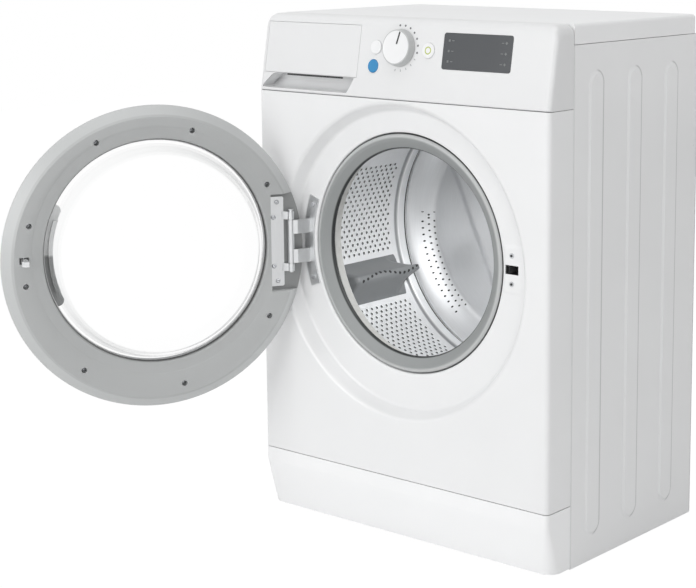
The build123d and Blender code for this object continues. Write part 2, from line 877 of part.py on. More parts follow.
# Door outer frame: a domed ring with a flared hole and a pocket for the handle
handle_pocket_left = handle_left_x - handle_clearance
handle_pocket_right = handle_right_x + handle_swing_clearance
handle_pocket_half = handle_half_height + handle_clearance
handle_inner_depth = handle_outer_depth + handle_thickness


def dome_profile(wall):
    """Half section of the domed frame, thinned by a wall on its outer side."""
    Polyline((0, rim_depth), (rim_radius - wall, rim_depth))
    Spline(
        (rim_radius - wall, rim_depth),
        (rim_radius - 3 * moulding - wall, rim_depth - 4.5 + wall),
        (rim_radius - 30 - wall, rim_depth - 8.5 + wall),
        (glass_flange_radius, frame_face_depth + wall),
    )
    Polyline((glass_flange_radius, frame_face_depth + wall), (0, frame_face_depth + wall), (0, rim_depth))


with BuildPart() as frame_hollow:
    with BuildSketch(door_level(dish_z)):
        with BuildLine():
            dome_profile(moulding)
        make_face()
    revolve(axis=door_axis(0, dish_z))
    with BuildSketch(door_plane(rim_depth + moulding)):
        with Locations((0, porthole_z)):
            Circle(glass_flange_radius)
    extrude(amount=2 * (rim_depth - frame_face_depth), mode=Mode.SUBTRACT)
    with BuildSketch(door_plane(rim_depth + moulding)):
        with Locations(((handle_pocket_left + handle_pocket_right) / 2, porthole_z)):
            Rectangle(
                handle_pocket_right - handle_pocket_left + 2 * moulding, 2 * (handle_pocket_half + moulding)
            )
    extrude(amount=2 * (rim_depth - frame_face_depth), mode=Mode.SUBTRACT)

with BuildPart() as door_outer_frame:
    with BuildSketch(door_level(dish_z)):
        with BuildLine():
            dome_profile(0)
        make_face()
    revolve(axis=door_axis(0, dish_z))
    add(frame_hollow.part, mode=Mode.SUBTRACT)
    with BuildSketch(door_plane(rim_depth)):
        with Locations((0, porthole_z)):
            Circle(glass_flange_radius - 2 * seat_gap)
    extrude(amount=-(glass_seat_depth - glass_thickness - seat_gap - rim_depth))
    with BuildSketch(door_plane(rim_depth + moulding)):
        with Locations((0, porthole_z)):
            Circle(frame_hole_radius)
    with BuildSketch(door_plane(frame_face_depth - moulding)):
        with Locations((0, porthole_z)):
            Circle(frame_hole_radius + 2 * moulding)
    loft(mode=Mode.SUBTRACT)
    with BuildSketch(door_plane(rim_depth)):
        with Locations(((handle_pocket_left + handle_pocket_right) / 2, porthole_z)):
            Rectangle(handle_pocket_right - handle_pocket_left, 2 * handle_pocket_half)
    extrude(amount=2 * (rim_depth - frame_face_depth), mode=Mode.SUBTRACT)
    with BuildSketch(door_level(porthole_z - handle_pocket_half - moulding)):
        with Locations((handle_pivot_x, handle_pivot_depth)):
            Circle(handle_pin_radius + running_clearance)
    extrude(amount=2 * (handle_pocket_half + moulding), mode=Mode.SUBTRACT)
keep(door_outer_frame, "door_outer_frame")

# Door handle: a curved pull plate on its own pivot pins
handle_pin_length = handle_pocket_half + moulding - seat_gap
with BuildPart() as door_handle:
    with BuildSketch(door_plane(handle_inner_depth)):
        with Locations(((handle_left_x + handle_right_x) / 2, porthole_z)):
            RectangleRounded(handle_right_x - handle_left_x, 2 * handle_half_height, handle_corner)
        with Locations((0, porthole_z)):
            Circle(handle_curve_radius, mode=Mode.SUBTRACT)
    extrude(amount=handle_thickness)
    with BuildSketch(door_plane(handle_inner_depth + handle_lip_depth)):
        with Locations((0, porthole_z)):
            Circle(handle_curve_radius + handle_lip_width)
            Circle(handle_curve_radius, mode=Mode.SUBTRACT)
        with Locations((handle_curve_radius, porthole_z)):
            Rectangle(handle_curve_radius, 1.4 * handle_half_height, mode=Mode.INTERSECT)
    extrude(amount=handle_lip_depth + handle_thickness / 2)
    with BuildSketch(door_level(porthole_z - handle_pin_length)):
        with Locations((handle_pivot_x, handle_pivot_depth)):
            Circle(handle_pin_radius)
    extrude(amount=2 * handle_pin_length)
    with BuildSketch(door_level(porthole_z - handle_half_height + handle_corner)):
        with Locations((handle_pivot_x, (handle_pivot_depth + handle_inner_depth) / 2)):
            Rectangle(2 * handle_pin_radius, handle_pivot_depth - handle_inner_depth + 2 * handle_pin_radius)
    extrude(amount=2 * (handle_half_height - handle_corner))
keep(door_handle, "door_handle")

# Door inner ring: a chamfered shell with a lipped hole, screw bosses and a hinge pocket
ring_screws = [
    (ring_screw_radius * cos(radians(a)), dish_z + ring_screw_radius * sin(radians(a)))
    for a in ring_screw_angles
]
pocket_x = (pocket_left_x + pocket_right_x) / 2
pocket_width = pocket_right_x - pocket_left_x
hook_room = hook_width + 8.0
hook_pin_half = hook_thickness / 2 + moulding
leaf_right_x = pocket_right_x - seat_gap
leaf_left_x = leaf_right_x - door_leaf_width
leaf_back_depth = pocket_floor_depth + seat_gap
door_leaf_screws = [
    (leaf_right_x - door_leaf_width * f, porthole_z + s * h)
    for s in (-1, 1)
    for f, h in ((0.55, door_leaf_half_height - 9), (0.3, knuckle_inner + 4))
]

with BuildPart() as ring_hollow:
    with BuildSketch(door_plane(rim_depth)):
        with Locations((0, dish_z)):
            Circle(rim_radius - 1.4 * moulding)
    with BuildSketch(door_plane(ring_face_depth - moulding)):
        with Locations((0, dish_z)):
            Circle(ring_face_radius - 0.4 * moulding)
    loft()
    with BuildSketch(door_plane(rim_depth)):
        with Locations((0, porthole_z)):
            Circle(glass_flange_radius + seat_gap + moulding)
        with Locations((pocket_x, porthole_z)):
            Rectangle(pocket_width + 2 * moulding, 2 * (pocket_half_height + moulding))
        with Locations(*ring_screws):
            Circle(screw_head_radius + 2)
        with Locations((hook_x, porthole_z)):
            Rectangle(hook_room + 2 * moulding, hook_thickness + 3 * moulding)
    extrude(amount=rim_depth - ring_face_depth - moulding, mode=Mode.SUBTRACT)

with BuildPart() as door_inner_ring:
    with BuildSketch(door_plane(rim_depth + seat_gap)):
        with Locations((0, dish_z)):
            Circle(rim_radius - seat_gap)
    with BuildSketch(door_plane(ring_face_depth)):
        with Locations((0, dish_z)):
            Circle(ring_face_radius)
    loft()
    add(ring_hollow.part, mode=Mode.SUBTRACT)
    with BuildSketch(door_plane(glass_seat_depth)):
        with Locations((0, porthole_z)):
            Circle(ring_hole_radius)
    with BuildSketch(door_plane(ring_face_depth)):
        with Locations((0, porthole_z)):
            Circle(ring_lip_radius)
    loft(mode=Mode.SUBTRACT)
    with BuildSketch(door_plane(rim_depth)):
        with Locations((0, porthole_z)):
            Circle(glass_flange_radius + seat_gap)
    extrude(amount=rim_depth - glass_seat_depth - seat_gap, mode=Mode.SUBTRACT)
    with BuildSketch(door_plane(pocket_floor_depth)):
        with Locations((pocket_x, porthole_z)):
            Rectangle(pocket_width, 2 * pocket_half_height)
    extrude(amount=pocket_floor_depth - 2 * ring_face_depth, mode=Mode.SUBTRACT)
    with BuildSketch(door_plane(ring_face_depth)):
        with Locations(*ring_screws):
            Circle(screw_hole_radius)
        with Locations((hook_x, porthole_z)):
            Rectangle(hook_room, hook_thickness + moulding)
    extrude(amount=2 * (ring_face_depth - rim_depth), both=True, mode=Mode.SUBTRACT)
    with BuildSketch(door_plane(ring_face_depth)):
        with Locations(*ring_screws):
            Circle(screw_head_radius + seat_gap)
    extrude(amount=screw_head_height, mode=Mode.SUBTRACT)
    with BuildSketch(door_plane(pocket_floor_depth)):
        with Locations(*door_leaf_screws):
            Circle(screw_hole_radius)
    extrude(amount=2 * moulding, both=True, mode=Mode.SUBTRACT)
    with BuildSketch(door_level(porthole_z - hook_pin_half)):
        with Locations((hook_x, hook_pivot_depth)):
            Circle(hook_pin_radius + running_clearance)
    extrude(amount=2 * hook_pin_half, mode=Mode.SUBTRACT)
keep(door_inner_ring, "door_inner_ring")

# Door hook: a barbed arm on pivot pins in the ring
with BuildPart() as door_hook:
    with BuildSketch(door_level(porthole_z - hook_thickness / 2)):
        with BuildLine():
            FilletPolyline(
                (hook_x - hook_width / 2, hook_pivot_depth - hook_width / 2),
                (hook_x + hook_width / 2, hook_pivot_depth - hook_width / 2),
                (hook_x + hook_width / 2, hook_reach - 9),
                (hook_x + hook_width / 2 + hook_barb, hook_reach - 7),
                (hook_x + hook_width / 2, hook_reach),
                (hook_x - hook_width / 2, hook_reach),
                radius=1,
                close=True,
            )
        make_face()
    extrude(amount=hook_thickness)
    with BuildSketch(door_level(porthole_z - hook_pin_half + seat_gap)):
        with Locations((hook_x, hook_pivot_depth)):
            Circle(hook_pin_radius)
    extrude(amount=2 * (hook_pin_half - seat_gap))
keep(door_hook, "door_hook")

# Door glass: a flanged bowl
with BuildPart() as door_glass:
    with BuildSketch(door_level(porthole_z)):
        with BuildLine():
            FilletPolyline(
                (glass_flange_radius, glass_seat_depth),
                (glass_mouth_radius, glass_seat_depth),
                (glass_wall_radius, glass_wall_depth),
                (glass_end_radius, glass_end_depth),
                (glass_crown_radius, glass_end_depth + glass_crown),
                (0, glass_end_depth + glass_crown),
                radius=(5, 24, 24, 24),
            )
            offset(amount=glass_thickness, side=Side.LEFT)
        make_face()
    revolve(axis=door_axis(0, porthole_z))
keep(door_glass, "door_glass")

# Hinge: door leaf with two knuckles, pin, and cabinet leaf with two lugs and one barrel between the knuckles
with BuildPart() as hinge_door_leaf:
    with BuildSketch(door_plane(leaf_back_depth)):
        with Locations(((leaf_left_x + leaf_right_x) / 2, porthole_z)):
            RectangleRounded(door_leaf_width, 2 * door_leaf_half_height, 3)
        with Locations(*door_leaf_screws):
            Circle(screw_hole_radius, mode=Mode.SUBTRACT)
    extrude(amount=-leaf_thickness)
    for low in (knuckle_inner, -knuckle_outer):
        with BuildSketch(door_level(porthole_z + low)):
            with BuildLine():
                Polyline(
                    (leaf_left_x + 4, leaf_back_depth),
                    (leaf_left_x + 4, leaf_back_depth + leaf_thickness),
                    (hinge_x + 1, hinge_depth + barrel_radius - 1),
                    (hinge_x - 3, hinge_depth),
                    (hinge_x, hinge_depth - barrel_radius + 0.5),
                    (leaf_left_x - 2, leaf_back_depth),
                    close=True,
                )
            make_face()
            with Locations((hinge_x, hinge_depth)):
                Circle(barrel_radius)
                Circle(pin_radius + running_clearance / 2, mode=Mode.SUBTRACT)
        extrude(amount=knuckle_outer - knuckle_inner)
keep(hinge_door_leaf, "hinge_door_leaf")

with BuildPart() as hinge_pin:
    with BuildSketch(Plane.XY.offset(porthole_z - pin_half_length)):
        with Locations((hinge_x, hinge_y)):
            Circle(pin_radius)
    extrude(amount=2 * pin_half_length)
    with BuildSketch(Plane.XY.offset(porthole_z + pin_half_length)):
        with Locations((hinge_x, hinge_y)):
            Circle(1.5 * pin_radius)
    extrude(amount=leaf_thickness)
keep(hinge_pin, "hinge_pin")

leaf_plate_depth = dish_depth - leaf_thickness - seat_gap
lug_root_x = -leaf_screw_radius
with BuildPart() as hinge_cabinet_leaf:
    with BuildSketch(front_plane(leaf_plate_depth)):
        with BuildLine():
            arc_start = 180 - cabinet_leaf_half_angle
            arc_span = 2 * cabinet_leaf_half_angle
            outer_arc = CenterArc((0, porthole_z), cabinet_leaf_outer, arc_start, arc_span)
            inner_arc = CenterArc((0, porthole_z), cabinet_leaf_inner, arc_start, arc_span)
            Line(outer_arc @ 0, inner_arc @ 0)
            Line(outer_arc @ 1, inner_arc @ 1)
        make_face()
        with Locations(*leaf_screws):
            Circle(screw_hole_radius, mode=Mode.SUBTRACT)
    extrude(amount=-leaf_thickness)
    for low in (lug_inner, -lug_outer):
        with BuildSketch(level_plane(porthole_z + low)):
            with BuildLine():
                Polyline(
                    (lug_root_x - 4, leaf_plate_depth + leaf_thickness),
                    (lug_root_x + 3, leaf_plate_depth + leaf_thickness),
                    (lug_root_x - 5, hinge_depth + 6),
                    (hinge_x + 2, hinge_depth - barrel_radius + 1),
                    (hinge_x, hinge_depth + barrel_radius - 0.5),
                    (lug_root_x - 9, hinge_depth + 9),
                    close=True,
                )
            make_face()
            with Locations((hinge_x, hinge_depth)):
                Circle(pin_radius + running_clearance, mode=Mode.SUBTRACT)
        extrude(amount=lug_outer - lug_inner)
    with BuildSketch(level_plane(porthole_z - lug_outer)):
        with Locations((hinge_x, hinge_depth)):
            Circle(barrel_radius)
            Circle(pin_radius + running_clearance, mode=Mode.SUBTRACT)
    extrude(amount=2 * lug_outer)
keep(hinge_cabinet_leaf, "hinge_cabinet_leaf")

# Screws of the door and of the cabinet, each with its head on the side named by its sign
screw_length = 12.0
short_screw = 5.0
screw_head = screw_head_height - seat_gap
leaf_face_depth = leaf_back_depth + leaf_thickness + seat_gap
door_screw_sets = (
    (ring_face_depth - screw_head_height, ring_screws, screw_length),
    (leaf_face_depth, door_leaf_screws, short_screw),
)
with BuildPart() as door_screws:
    for screw_depth, places, shank in door_screw_sets:
        with BuildSketch(door_plane(screw_depth)):
            with Locations(*places):
                Circle(screw_head_radius)
        extrude(amount=-screw_head)
        with BuildSketch(door_plane(screw_depth)):
            with Locations(*places):
                Circle(screw_shank_radius)
        extrude(amount=shank)
keep(door_screws, "door_screws")

cover_face_depth = cabinet_depth + 2 * seat_gap + sheet
cabinet_screw_sets = (
    (leaf_plate_depth - seat_gap, leaf_screws, 1),
    (dish_depth - seat_gap, lock_screws, 1),
    (cabinet_depth + seat_gap, rear_screws, -1),
    (cover_face_depth, cover_screws, -1),
)
with BuildPart() as cabinet_screws:
    for screw_depth, places, sign in cabinet_screw_sets:
        with BuildSketch(front_plane(screw_depth)):
            with Locations(*places):
                Circle(screw_head_radius)
        extrude(amount=sign * screw_head)
        with BuildSketch(front_plane(screw_depth)):
            with Locations(*places):
                Circle(screw_shank_radius)
        extrude(amount=-sign * short_screw)
keep(cabinet_screws, "cabinet_screws")

# Door lock: a box behind the dish floor, open to the slot that takes the hook
lock_left_x = 203.0
lock_width = 31.0
lock_front_depth = dish_depth + sheet + seat_gap
hook_cavity = 22.0
with BuildPart() as door_lock:
    with BuildSketch(front_plane(lock_front_depth)):
        with Locations((lock_left_x + lock_width / 2, porthole_z)):
            Rectangle(lock_width, lock_height)
    extrude(amount=-lock_depth)
    with BuildSketch(front_plane(lock_front_depth)):
        with Locations((lock_left_x, porthole_z)):
            Rectangle(2 * hook_cavity, slot_height + 2)
    extrude(amount=-hook_cavity, mode=Mode.SUBTRACT)
    with BuildSketch(front_plane(lock_front_depth)):
        with Locations(*lock_screws):
            Circle(screw_hole_radius)
    extrude(amount=-2 * short_screw, mode=Mode.SUBTRACT)
keep(door_lock, "door_lock")

# Porthole seal: a grooved bead over the porthole's flange, a lip for the glass and a folded sleeve to the tub
seal_pinch = 0.5
bead_cover = 6.0
sleeve_gap = 2.0
flange_end_depth = dish_depth + porthole_flange
bead_outer = porthole_radius + sheet + seal_wall - seal_pinch
bead_inner = porthole_radius - seal_wall + 2 * seal_pinch
bead_back_depth = flange_end_depth + seal_wall + seal_pinch
neck_sleeve = tub_neck_radius + seat_gap + seal_wall / 2
with BuildPart() as door_seal:
    with BuildSketch(level_plane(porthole_z)):
        with BuildLine():
            Polyline(
                (bead_outer, dish_depth + bead_cover),
                (bead_outer, bead_back_depth),
                (bead_inner, bead_back_depth),
                (bead_inner, dish_depth - seal_pinch),
            )
        trace(line_width=seal_wall)
        with BuildLine():
            Polyline(
                (bead_inner, dish_depth - seal_pinch),
                (seal_lip_radius, seal_lip_depth),
                (seal_fold_radius, seal_lip_depth + seal_fold_length),
                (neck_sleeve, seal_lip_depth + 2 * seal_fold_length),
                (neck_sleeve, tub_front_depth - sleeve_gap),
            )
        trace(line_width=seal_wall)
    revolve(axis=depth_axis(0, porthole_z))
keep(door_seal, "door_seal")

clamp_wall = 1.2
clamp_width = 4.0
clamp_setback = 8.0
front_clamp_radius = bead_outer + seal_wall / 2 + seat_gap
tub_clamp_radius = neck_sleeve + seal_wall / 2 + seat_gap
clamp_sets = (
    ("seal_front_clamp", front_clamp_radius, dish_depth + clamp_setback),
    ("seal_tub_clamp", tub_clamp_radius, tub_front_depth - clamp_setback),
)
for clamp_name, clamp_radius, clamp_depth in clamp_sets:
    with BuildPart() as clamp:
        with BuildSketch(front_plane(clamp_depth)):
            with Locations((0, porthole_z)):
                Circle(clamp_radius + clamp_wall)
                Circle(clamp_radius, mode=Mode.SUBTRACT)
        extrude(amount=-clamp_width)
    keep(clamp, clamp_name)

# Tub in two halves: the front one with the neck and the spigots, the rear one with the bearing hub
bolt_circle = tub_radius + tub_flange / 2
sump_depth = 110.0
sump_radius = 18.0
sump_rise = 10.0
sump_low_z = porthole_z - tub_radius + sump_rise
drop_sink = 15.0
drop_high_z = porthole_z + tub_radius - drop_sink
inner_radius = tub_radius - tub_wall
with BuildPart() as tub_front:
    with BuildSketch(front_plane(tub_front_depth)):
        with Locations((0, porthole_z)):
            Circle(tub_radius)
    extrude(amount=-(tub_joint_depth - tub_front_depth))
    with BuildSketch(front_plane(tub_joint_depth)):
        with Locations((0, porthole_z)):
            Circle(tub_radius + tub_flange)
    extrude(amount=tub_flange_thickness)
    with BuildSketch(front_plane(tub_neck_depth)):
        with Locations((0, porthole_z)):
            Circle(tub_neck_radius)
    extrude(amount=-(tub_front_depth - tub_neck_depth))
    with BuildSketch(level_plane(sump_low_z)):
        with Locations((pump_x, sump_depth)):
            Circle(sump_radius)
    extrude(amount=sqrt(inner_radius**2 - pump_x**2) / 4)
    with BuildSketch(level_plane(drop_high_z)):
        with Locations((hose_x, hose_depth)):
            Circle(spigot_radius)
    extrude(amount=-2 * spigot_length)
    with BuildSketch(front_plane(tub_front_depth + tub_wall)):
        with Locations((0, porthole_z)):
            Circle(inner_radius)
    extrude(amount=-cabinet_depth, mode=Mode.SUBTRACT)
    with BuildSketch(front_plane(tub_neck_depth)):
        with Locations((0, porthole_z)):
            Circle(tub_neck_radius - tub_wall)
    extrude(amount=-2 * tub_flange - tub_wall, mode=Mode.SUBTRACT)
    with BuildSketch(level_plane(sump_low_z)):
        with Locations((pump_x, sump_depth)):
            Circle(sump_radius - tub_wall)
    extrude(amount=3 * sump_radius, mode=Mode.SUBTRACT)
    with BuildSketch(level_plane(drop_high_z)):
        with Locations((hose_x, hose_depth)):
            Circle(spigot_radius - housing_wall)
    extrude(amount=-3 * spigot_length, mode=Mode.SUBTRACT)
    with BuildSketch(front_plane(tub_joint_depth)):
        with Locations((0, porthole_z)):
            with PolarLocations(bolt_circle, tub_bolt_count):
                Circle(tub_bolt_radius + seat_gap)
    extrude(amount=2 * tub_flange_thickness, both=True, mode=Mode.SUBTRACT)
keep(tub_front, "tub_front")

rear_joint_depth = tub_joint_depth + seat_gap
tub_end_depth = tub_back_depth + tub_wall
hub_wall = 7.0
heater_z = porthole_z - drum_radius - 11
heater_x = 25.0
heater_plug = 72.0
heater_plug_height = 14.0
rib_thickness = 4.0
with BuildPart() as tub_rear:
    with BuildSketch(front_plane(rear_joint_depth)):
        with Locations((0, porthole_z)):
            Circle(tub_radius)
    extrude(amount=-(tub_end_depth - rear_joint_depth))
    with BuildSketch(front_plane(rear_joint_depth)):
        with Locations((0, porthole_z)):
            Circle(tub_radius + tub_flange)
    extrude(amount=-tub_flange_thickness)
    with BuildSketch(front_plane(tub_end_depth)):
        with Locations((0, porthole_z)):
            with PolarLocations(tub_radius / 2, 8):
                Rectangle(tub_radius - tub_wall, rib_thickness)
    extrude(amount=-2 * rib_thickness)
    with BuildSketch(level_plane(lug_z - lug_thickness / 2)):
        for side in (-1, 1):
            with Locations((side * (spring_x - 2 * spring_radius), spring_depth)):
                Rectangle(6 * spring_radius, 2 * spring_radius)
    extrude(amount=lug_thickness)
    with BuildSketch(front_plane(rear_joint_depth)):
        with Locations((0, porthole_z)):
            Circle(inner_radius)
    extrude(amount=-(tub_back_depth - rear_joint_depth), mode=Mode.SUBTRACT)
    with BuildSketch(front_plane(tub_back_depth)):
        with Locations((0, porthole_z)):
            Circle(bearing_radius + hub_wall)
    extrude(amount=-(hub_end_depth - tub_back_depth))
    with BuildSketch(front_plane(tub_back_depth - 1)):
        with Locations((0, porthole_z)):
            Circle(bearing_radius + running_clearance)
        with Locations((0, heater_z)):
            Rectangle(heater_plug, heater_plug_height)
    extrude(amount=-(hub_end_depth - tub_back_depth + 2), mode=Mode.SUBTRACT)
    with BuildSketch(level_plane(lug_z - lug_thickness)):
        for side in (-1, 1):
            with Locations((side * spring_x, spring_depth)):
                Circle(spring_rod_radius + seat_gap)
    extrude(amount=2 * lug_thickness, mode=Mode.SUBTRACT)
    with BuildSketch(front_plane(tub_joint_depth)):
        with Locations((0, porthole_z)):
            with PolarLocations(bolt_circle, tub_bolt_count):
                Circle(tub_bolt_radius + seat_gap)
    extrude(amount=2 * tub_flange_thickness, both=True, mode=Mode.SUBTRACT)
keep(tub_rear, "tub_rear")

bolt_head = 3.0
bolt_grip = 2 * tub_flange_thickness + 3 * seat_gap
bolt_front_depth = tub_joint_depth - tub_flange_thickness - seat_gap
with BuildPart() as tub_bolts:
    for end_depth, sign in ((bolt_front_depth, 1), (bolt_front_depth + bolt_grip, -1)):
        with BuildSketch(front_plane(end_depth)):
            with Locations((0, porthole_z)):
                with PolarLocations(bolt_circle, tub_bolt_count):
                    RegularPolygon(radius=1.8 * tub_bolt_radius, side_count=6)
        extrude(amount=sign * bolt_head)
    with BuildSketch(front_plane(bolt_front_depth)):
        with Locations((0, porthole_z)):
            with PolarLocations(bolt_circle, tub_bolt_count):
                Circle(tub_bolt_radius)
    extrude(amount=-bolt_grip)
keep(tub_bolts, "tub_bolts")

# Counterweights: a ring before the tub and a block on it
weight_gap = 0.5
weight_chamfer = 6.0
weight_corner = 10.0
flange_room = 4.0
front_weight_depth = 43.0
front_weight_inner = 206.0
front_weight_outer = 254.0
lock_notch_margin = 16.0
with BuildPart() as front_counterweight:
    with BuildSketch(front_plane(front_weight_depth)):
        with Locations((0, porthole_z)):
            Circle(front_weight_outer)
            Circle(front_weight_inner, mode=Mode.SUBTRACT)
    extrude(amount=-(tub_front_depth - weight_gap - front_weight_depth))
    chamfer(front_counterweight.edges().group_by(Axis.Y)[0], length=weight_chamfer)
    with BuildSketch(front_plane(front_weight_depth)):
        with Locations((front_weight_outer, porthole_z)):
            Rectangle(
                2 * (front_weight_outer - lock_left_x + lock_notch_margin),
                lock_height + 2 * lock_notch_margin,
            )
    extrude(amount=-tub_front_depth, mode=Mode.SUBTRACT)
keep(front_counterweight, "front_counterweight")

top_weight_left = 30.0
top_weight_right = 220.0
top_weight_rise = 31.0
top_weight_height = 130.0
top_weight_top = porthole_z + tub_radius + top_weight_rise
top_weight_bottom = top_weight_top - top_weight_height
top_weight_front = 110.0
top_weight_back = 320.0
with BuildPart() as top_counterweight:
    with BuildSketch(front_plane(top_weight_front)):
        with Locations(((top_weight_left + top_weight_right) / 2, (top_weight_bottom + top_weight_top) / 2)):
            RectangleRounded(
                top_weight_right - top_weight_left, top_weight_top - top_weight_bottom, weight_corner
            )
    extrude(amount=-(top_weight_back - top_weight_front))
    with BuildSketch(front_plane(0)):
        with Locations((0, porthole_z)):
            Circle(tub_radius + weight_gap)
    extrude(amount=-cabinet_depth, mode=Mode.SUBTRACT)
    with BuildSketch(front_plane(bolt_front_depth - 2 * bolt_head)):
        with Locations((0, porthole_z)):
            Circle(tub_radius + tub_flange + flange_room)
    extrude(amount=-(bolt_grip + 4 * bolt_head), mode=Mode.SUBTRACT)
keep(top_counterweight, "top_counterweight")

# Drum: perforated mantle with a rolled mouth, pressed back, lifters and spider with the shaft
drum_inner = drum_radius - drum_sheet
panel_angles = [
    lifter_first_angle + k * 360 / lifter_count + side * panel_spread
    for k in range(lifter_count)
    for side in (-1, 1)
]
panel_depth_middle = drum_front_depth + panel_front_gap + perforation_rows * perforation_pitch / 2
with BuildPart() as drum_mantle:
    with BuildSketch(level_plane(porthole_z)):
        with BuildLine():
            FilletPolyline(
                (drum_mouth_radius, drum_front_depth + drum_collar),
                (drum_mouth_radius, drum_front_depth),
                (drum_radius, drum_front_depth),
                (drum_radius, bead_depth - 2 * bead_height),
                (drum_radius - bead_height, bead_depth),
                (drum_radius, bead_depth + 2 * bead_height),
                (drum_radius, drum_back_depth),
                radius=(3, 12, 4, 4, 4),
            )
            offset(amount=drum_sheet, side=Side.LEFT)
        make_face()
    revolve(axis=depth_axis(0, porthole_z))
    panel_y = front_y + panel_depth_middle
    for panel_angle in panel_angles:
        turn = radians(panel_angle)
        outward = (cos(turn), 0, sin(turn))
        with BuildSketch(Plane(origin=(0, panel_y, porthole_z), x_dir=(0, 1, 0), z_dir=outward)):
            with GridLocations(perforation_pitch, perforation_spacing, perforation_rows, perforation_columns):
                Circle(perforation_radius)
        extrude(amount=1.1 * drum_radius, mode=Mode.SUBTRACT)
keep(drum_mantle, "drum_mantle")

back_edge = drum_inner - seat_gap
back_boss = 10.0
boss_top_radius = 62.0
boss_foot_radius = 84.0
back_flat_radius = 200.0
back_slope = 26.0
back_lip = 5.0
with BuildPart() as drum_back:
    with BuildSketch(level_plane(porthole_z)):
        with BuildLine():
            FilletPolyline(
                (0, drum_back_depth - back_boss),
                (boss_top_radius, drum_back_depth - back_boss),
                (boss_foot_radius, drum_back_depth - drum_sheet),
                (back_flat_radius, drum_back_depth - drum_sheet),
                (back_edge - back_lip, drum_back_depth - back_slope),
                (back_edge, drum_back_depth - back_slope),
                (back_edge, drum_back_depth),
                radius=(6, 6, 14, 2, 2),
            )
            offset(amount=drum_sheet, side=Side.LEFT)
        make_face()
    revolve(axis=depth_axis(0, porthole_z))
keep(drum_back, "drum_back")

lifter_front_gap = 14.0
lifter_front_depth = drum_front_depth + lifter_front_gap
lifter_length = bead_depth - lifter_back_gap - lifter_front_depth
lifter_crest = 9.0
with BuildPart() as drum_lifters:
    with BuildSketch(front_plane(lifter_front_depth)):
        with Locations((0, porthole_z)):
            with PolarLocations(drum_radius, lifter_count, start_angle=lifter_first_angle):
                Polygon(
                    (0, -lifter_base / 2),
                    (0, lifter_base / 2),
                    (-lifter_height, lifter_crest),
                    (-lifter_height, -lifter_crest),
                    align=None,
                )
    extrude(amount=-lifter_length)
    with BuildSketch(front_plane(lifter_front_depth)):
        with Locations((0, porthole_z)):
            Circle(drum_inner - seat_gap)
    extrude(amount=-lifter_length, mode=Mode.INTERSECT)
keep(drum_lifters, "drum_lifters")

spider_depth = drum_back_depth + seat_gap
spider_arm = 36.0
spider_thickness = 10.0
spider_hub = 40.0
spider_reach = 222.0
with BuildPart() as drum_spider:
    with BuildSketch(front_plane(spider_depth)):
        with Locations((0, porthole_z)):
            Circle(spider_hub)
            with PolarLocations(spider_reach / 2, lifter_count, start_angle=lifter_first_angle):
                Rectangle(spider_reach, spider_arm)
    extrude(amount=-spider_thickness)
    with BuildSketch(front_plane(spider_depth)):
        with Locations((0, porthole_z)):
            Circle(shaft_radius)
    extrude(amount=-(shaft_end_depth - spider_depth))
keep(drum_spider, "drum_spider")

bearing_depths = (tub_back_depth + 1, hub_end_depth - bearing_width - 1)
with BuildPart() as drum_bearings:
    for bearing_depth in bearing_depths:
        with BuildSketch(front_plane(bearing_depth)):
            with Locations((0, porthole_z)):
                Circle(bearing_radius)
                Circle(shaft_radius + running_clearance, mode=Mode.SUBTRACT)
        extrude(amount=-bearing_width)
keep(drum_bearings, "drum_bearings")

# Belt drive: drum pulley, belt, motor and its rotor with the small pulley
pulley_rim = 10.0
pulley_web = 4.0
with BuildPart() as drum_pulley:
    with BuildSketch(front_plane(pulley_depth)):
        with Locations((0, porthole_z)):
            Circle(pulley_radius)
            Circle(pulley_radius - pulley_rim, mode=Mode.SUBTRACT)
            Circle(2 * shaft_radius)
    extrude(amount=-pulley_width)
    with BuildSketch(front_plane(pulley_depth + (pulley_width - pulley_web) / 2)):
        with Locations((0, porthole_z)):
            Circle(pulley_radius - pulley_rim / 2)
            with PolarLocations(pulley_radius * 0.58, 6):
                Circle(2 * shaft_radius, mode=Mode.SUBTRACT)
    extrude(amount=-pulley_web)
    with BuildSketch(front_plane(pulley_depth)):
        with Locations((0, porthole_z)):
            Circle(shaft_radius + running_clearance)
    extrude(amount=-pulley_width, mode=Mode.SUBTRACT)
keep(drum_pulley, "drum_pulley")

with BuildPart() as drive_belt:
    for margin, action in ((seat_gap + belt_thickness, Mode.ADD), (seat_gap, Mode.SUBTRACT)):
        with BuildSketch(front_plane(pulley_depth + 1)):
            with Locations((0, porthole_z)):
                Circle(pulley_radius + margin)
            with Locations((motor_x, motor_z)):
                Circle(motor_pulley_radius + margin)
            make_hull()
        extrude(amount=-(pulley_width - 2), mode=action)
keep(drive_belt, "drive_belt")

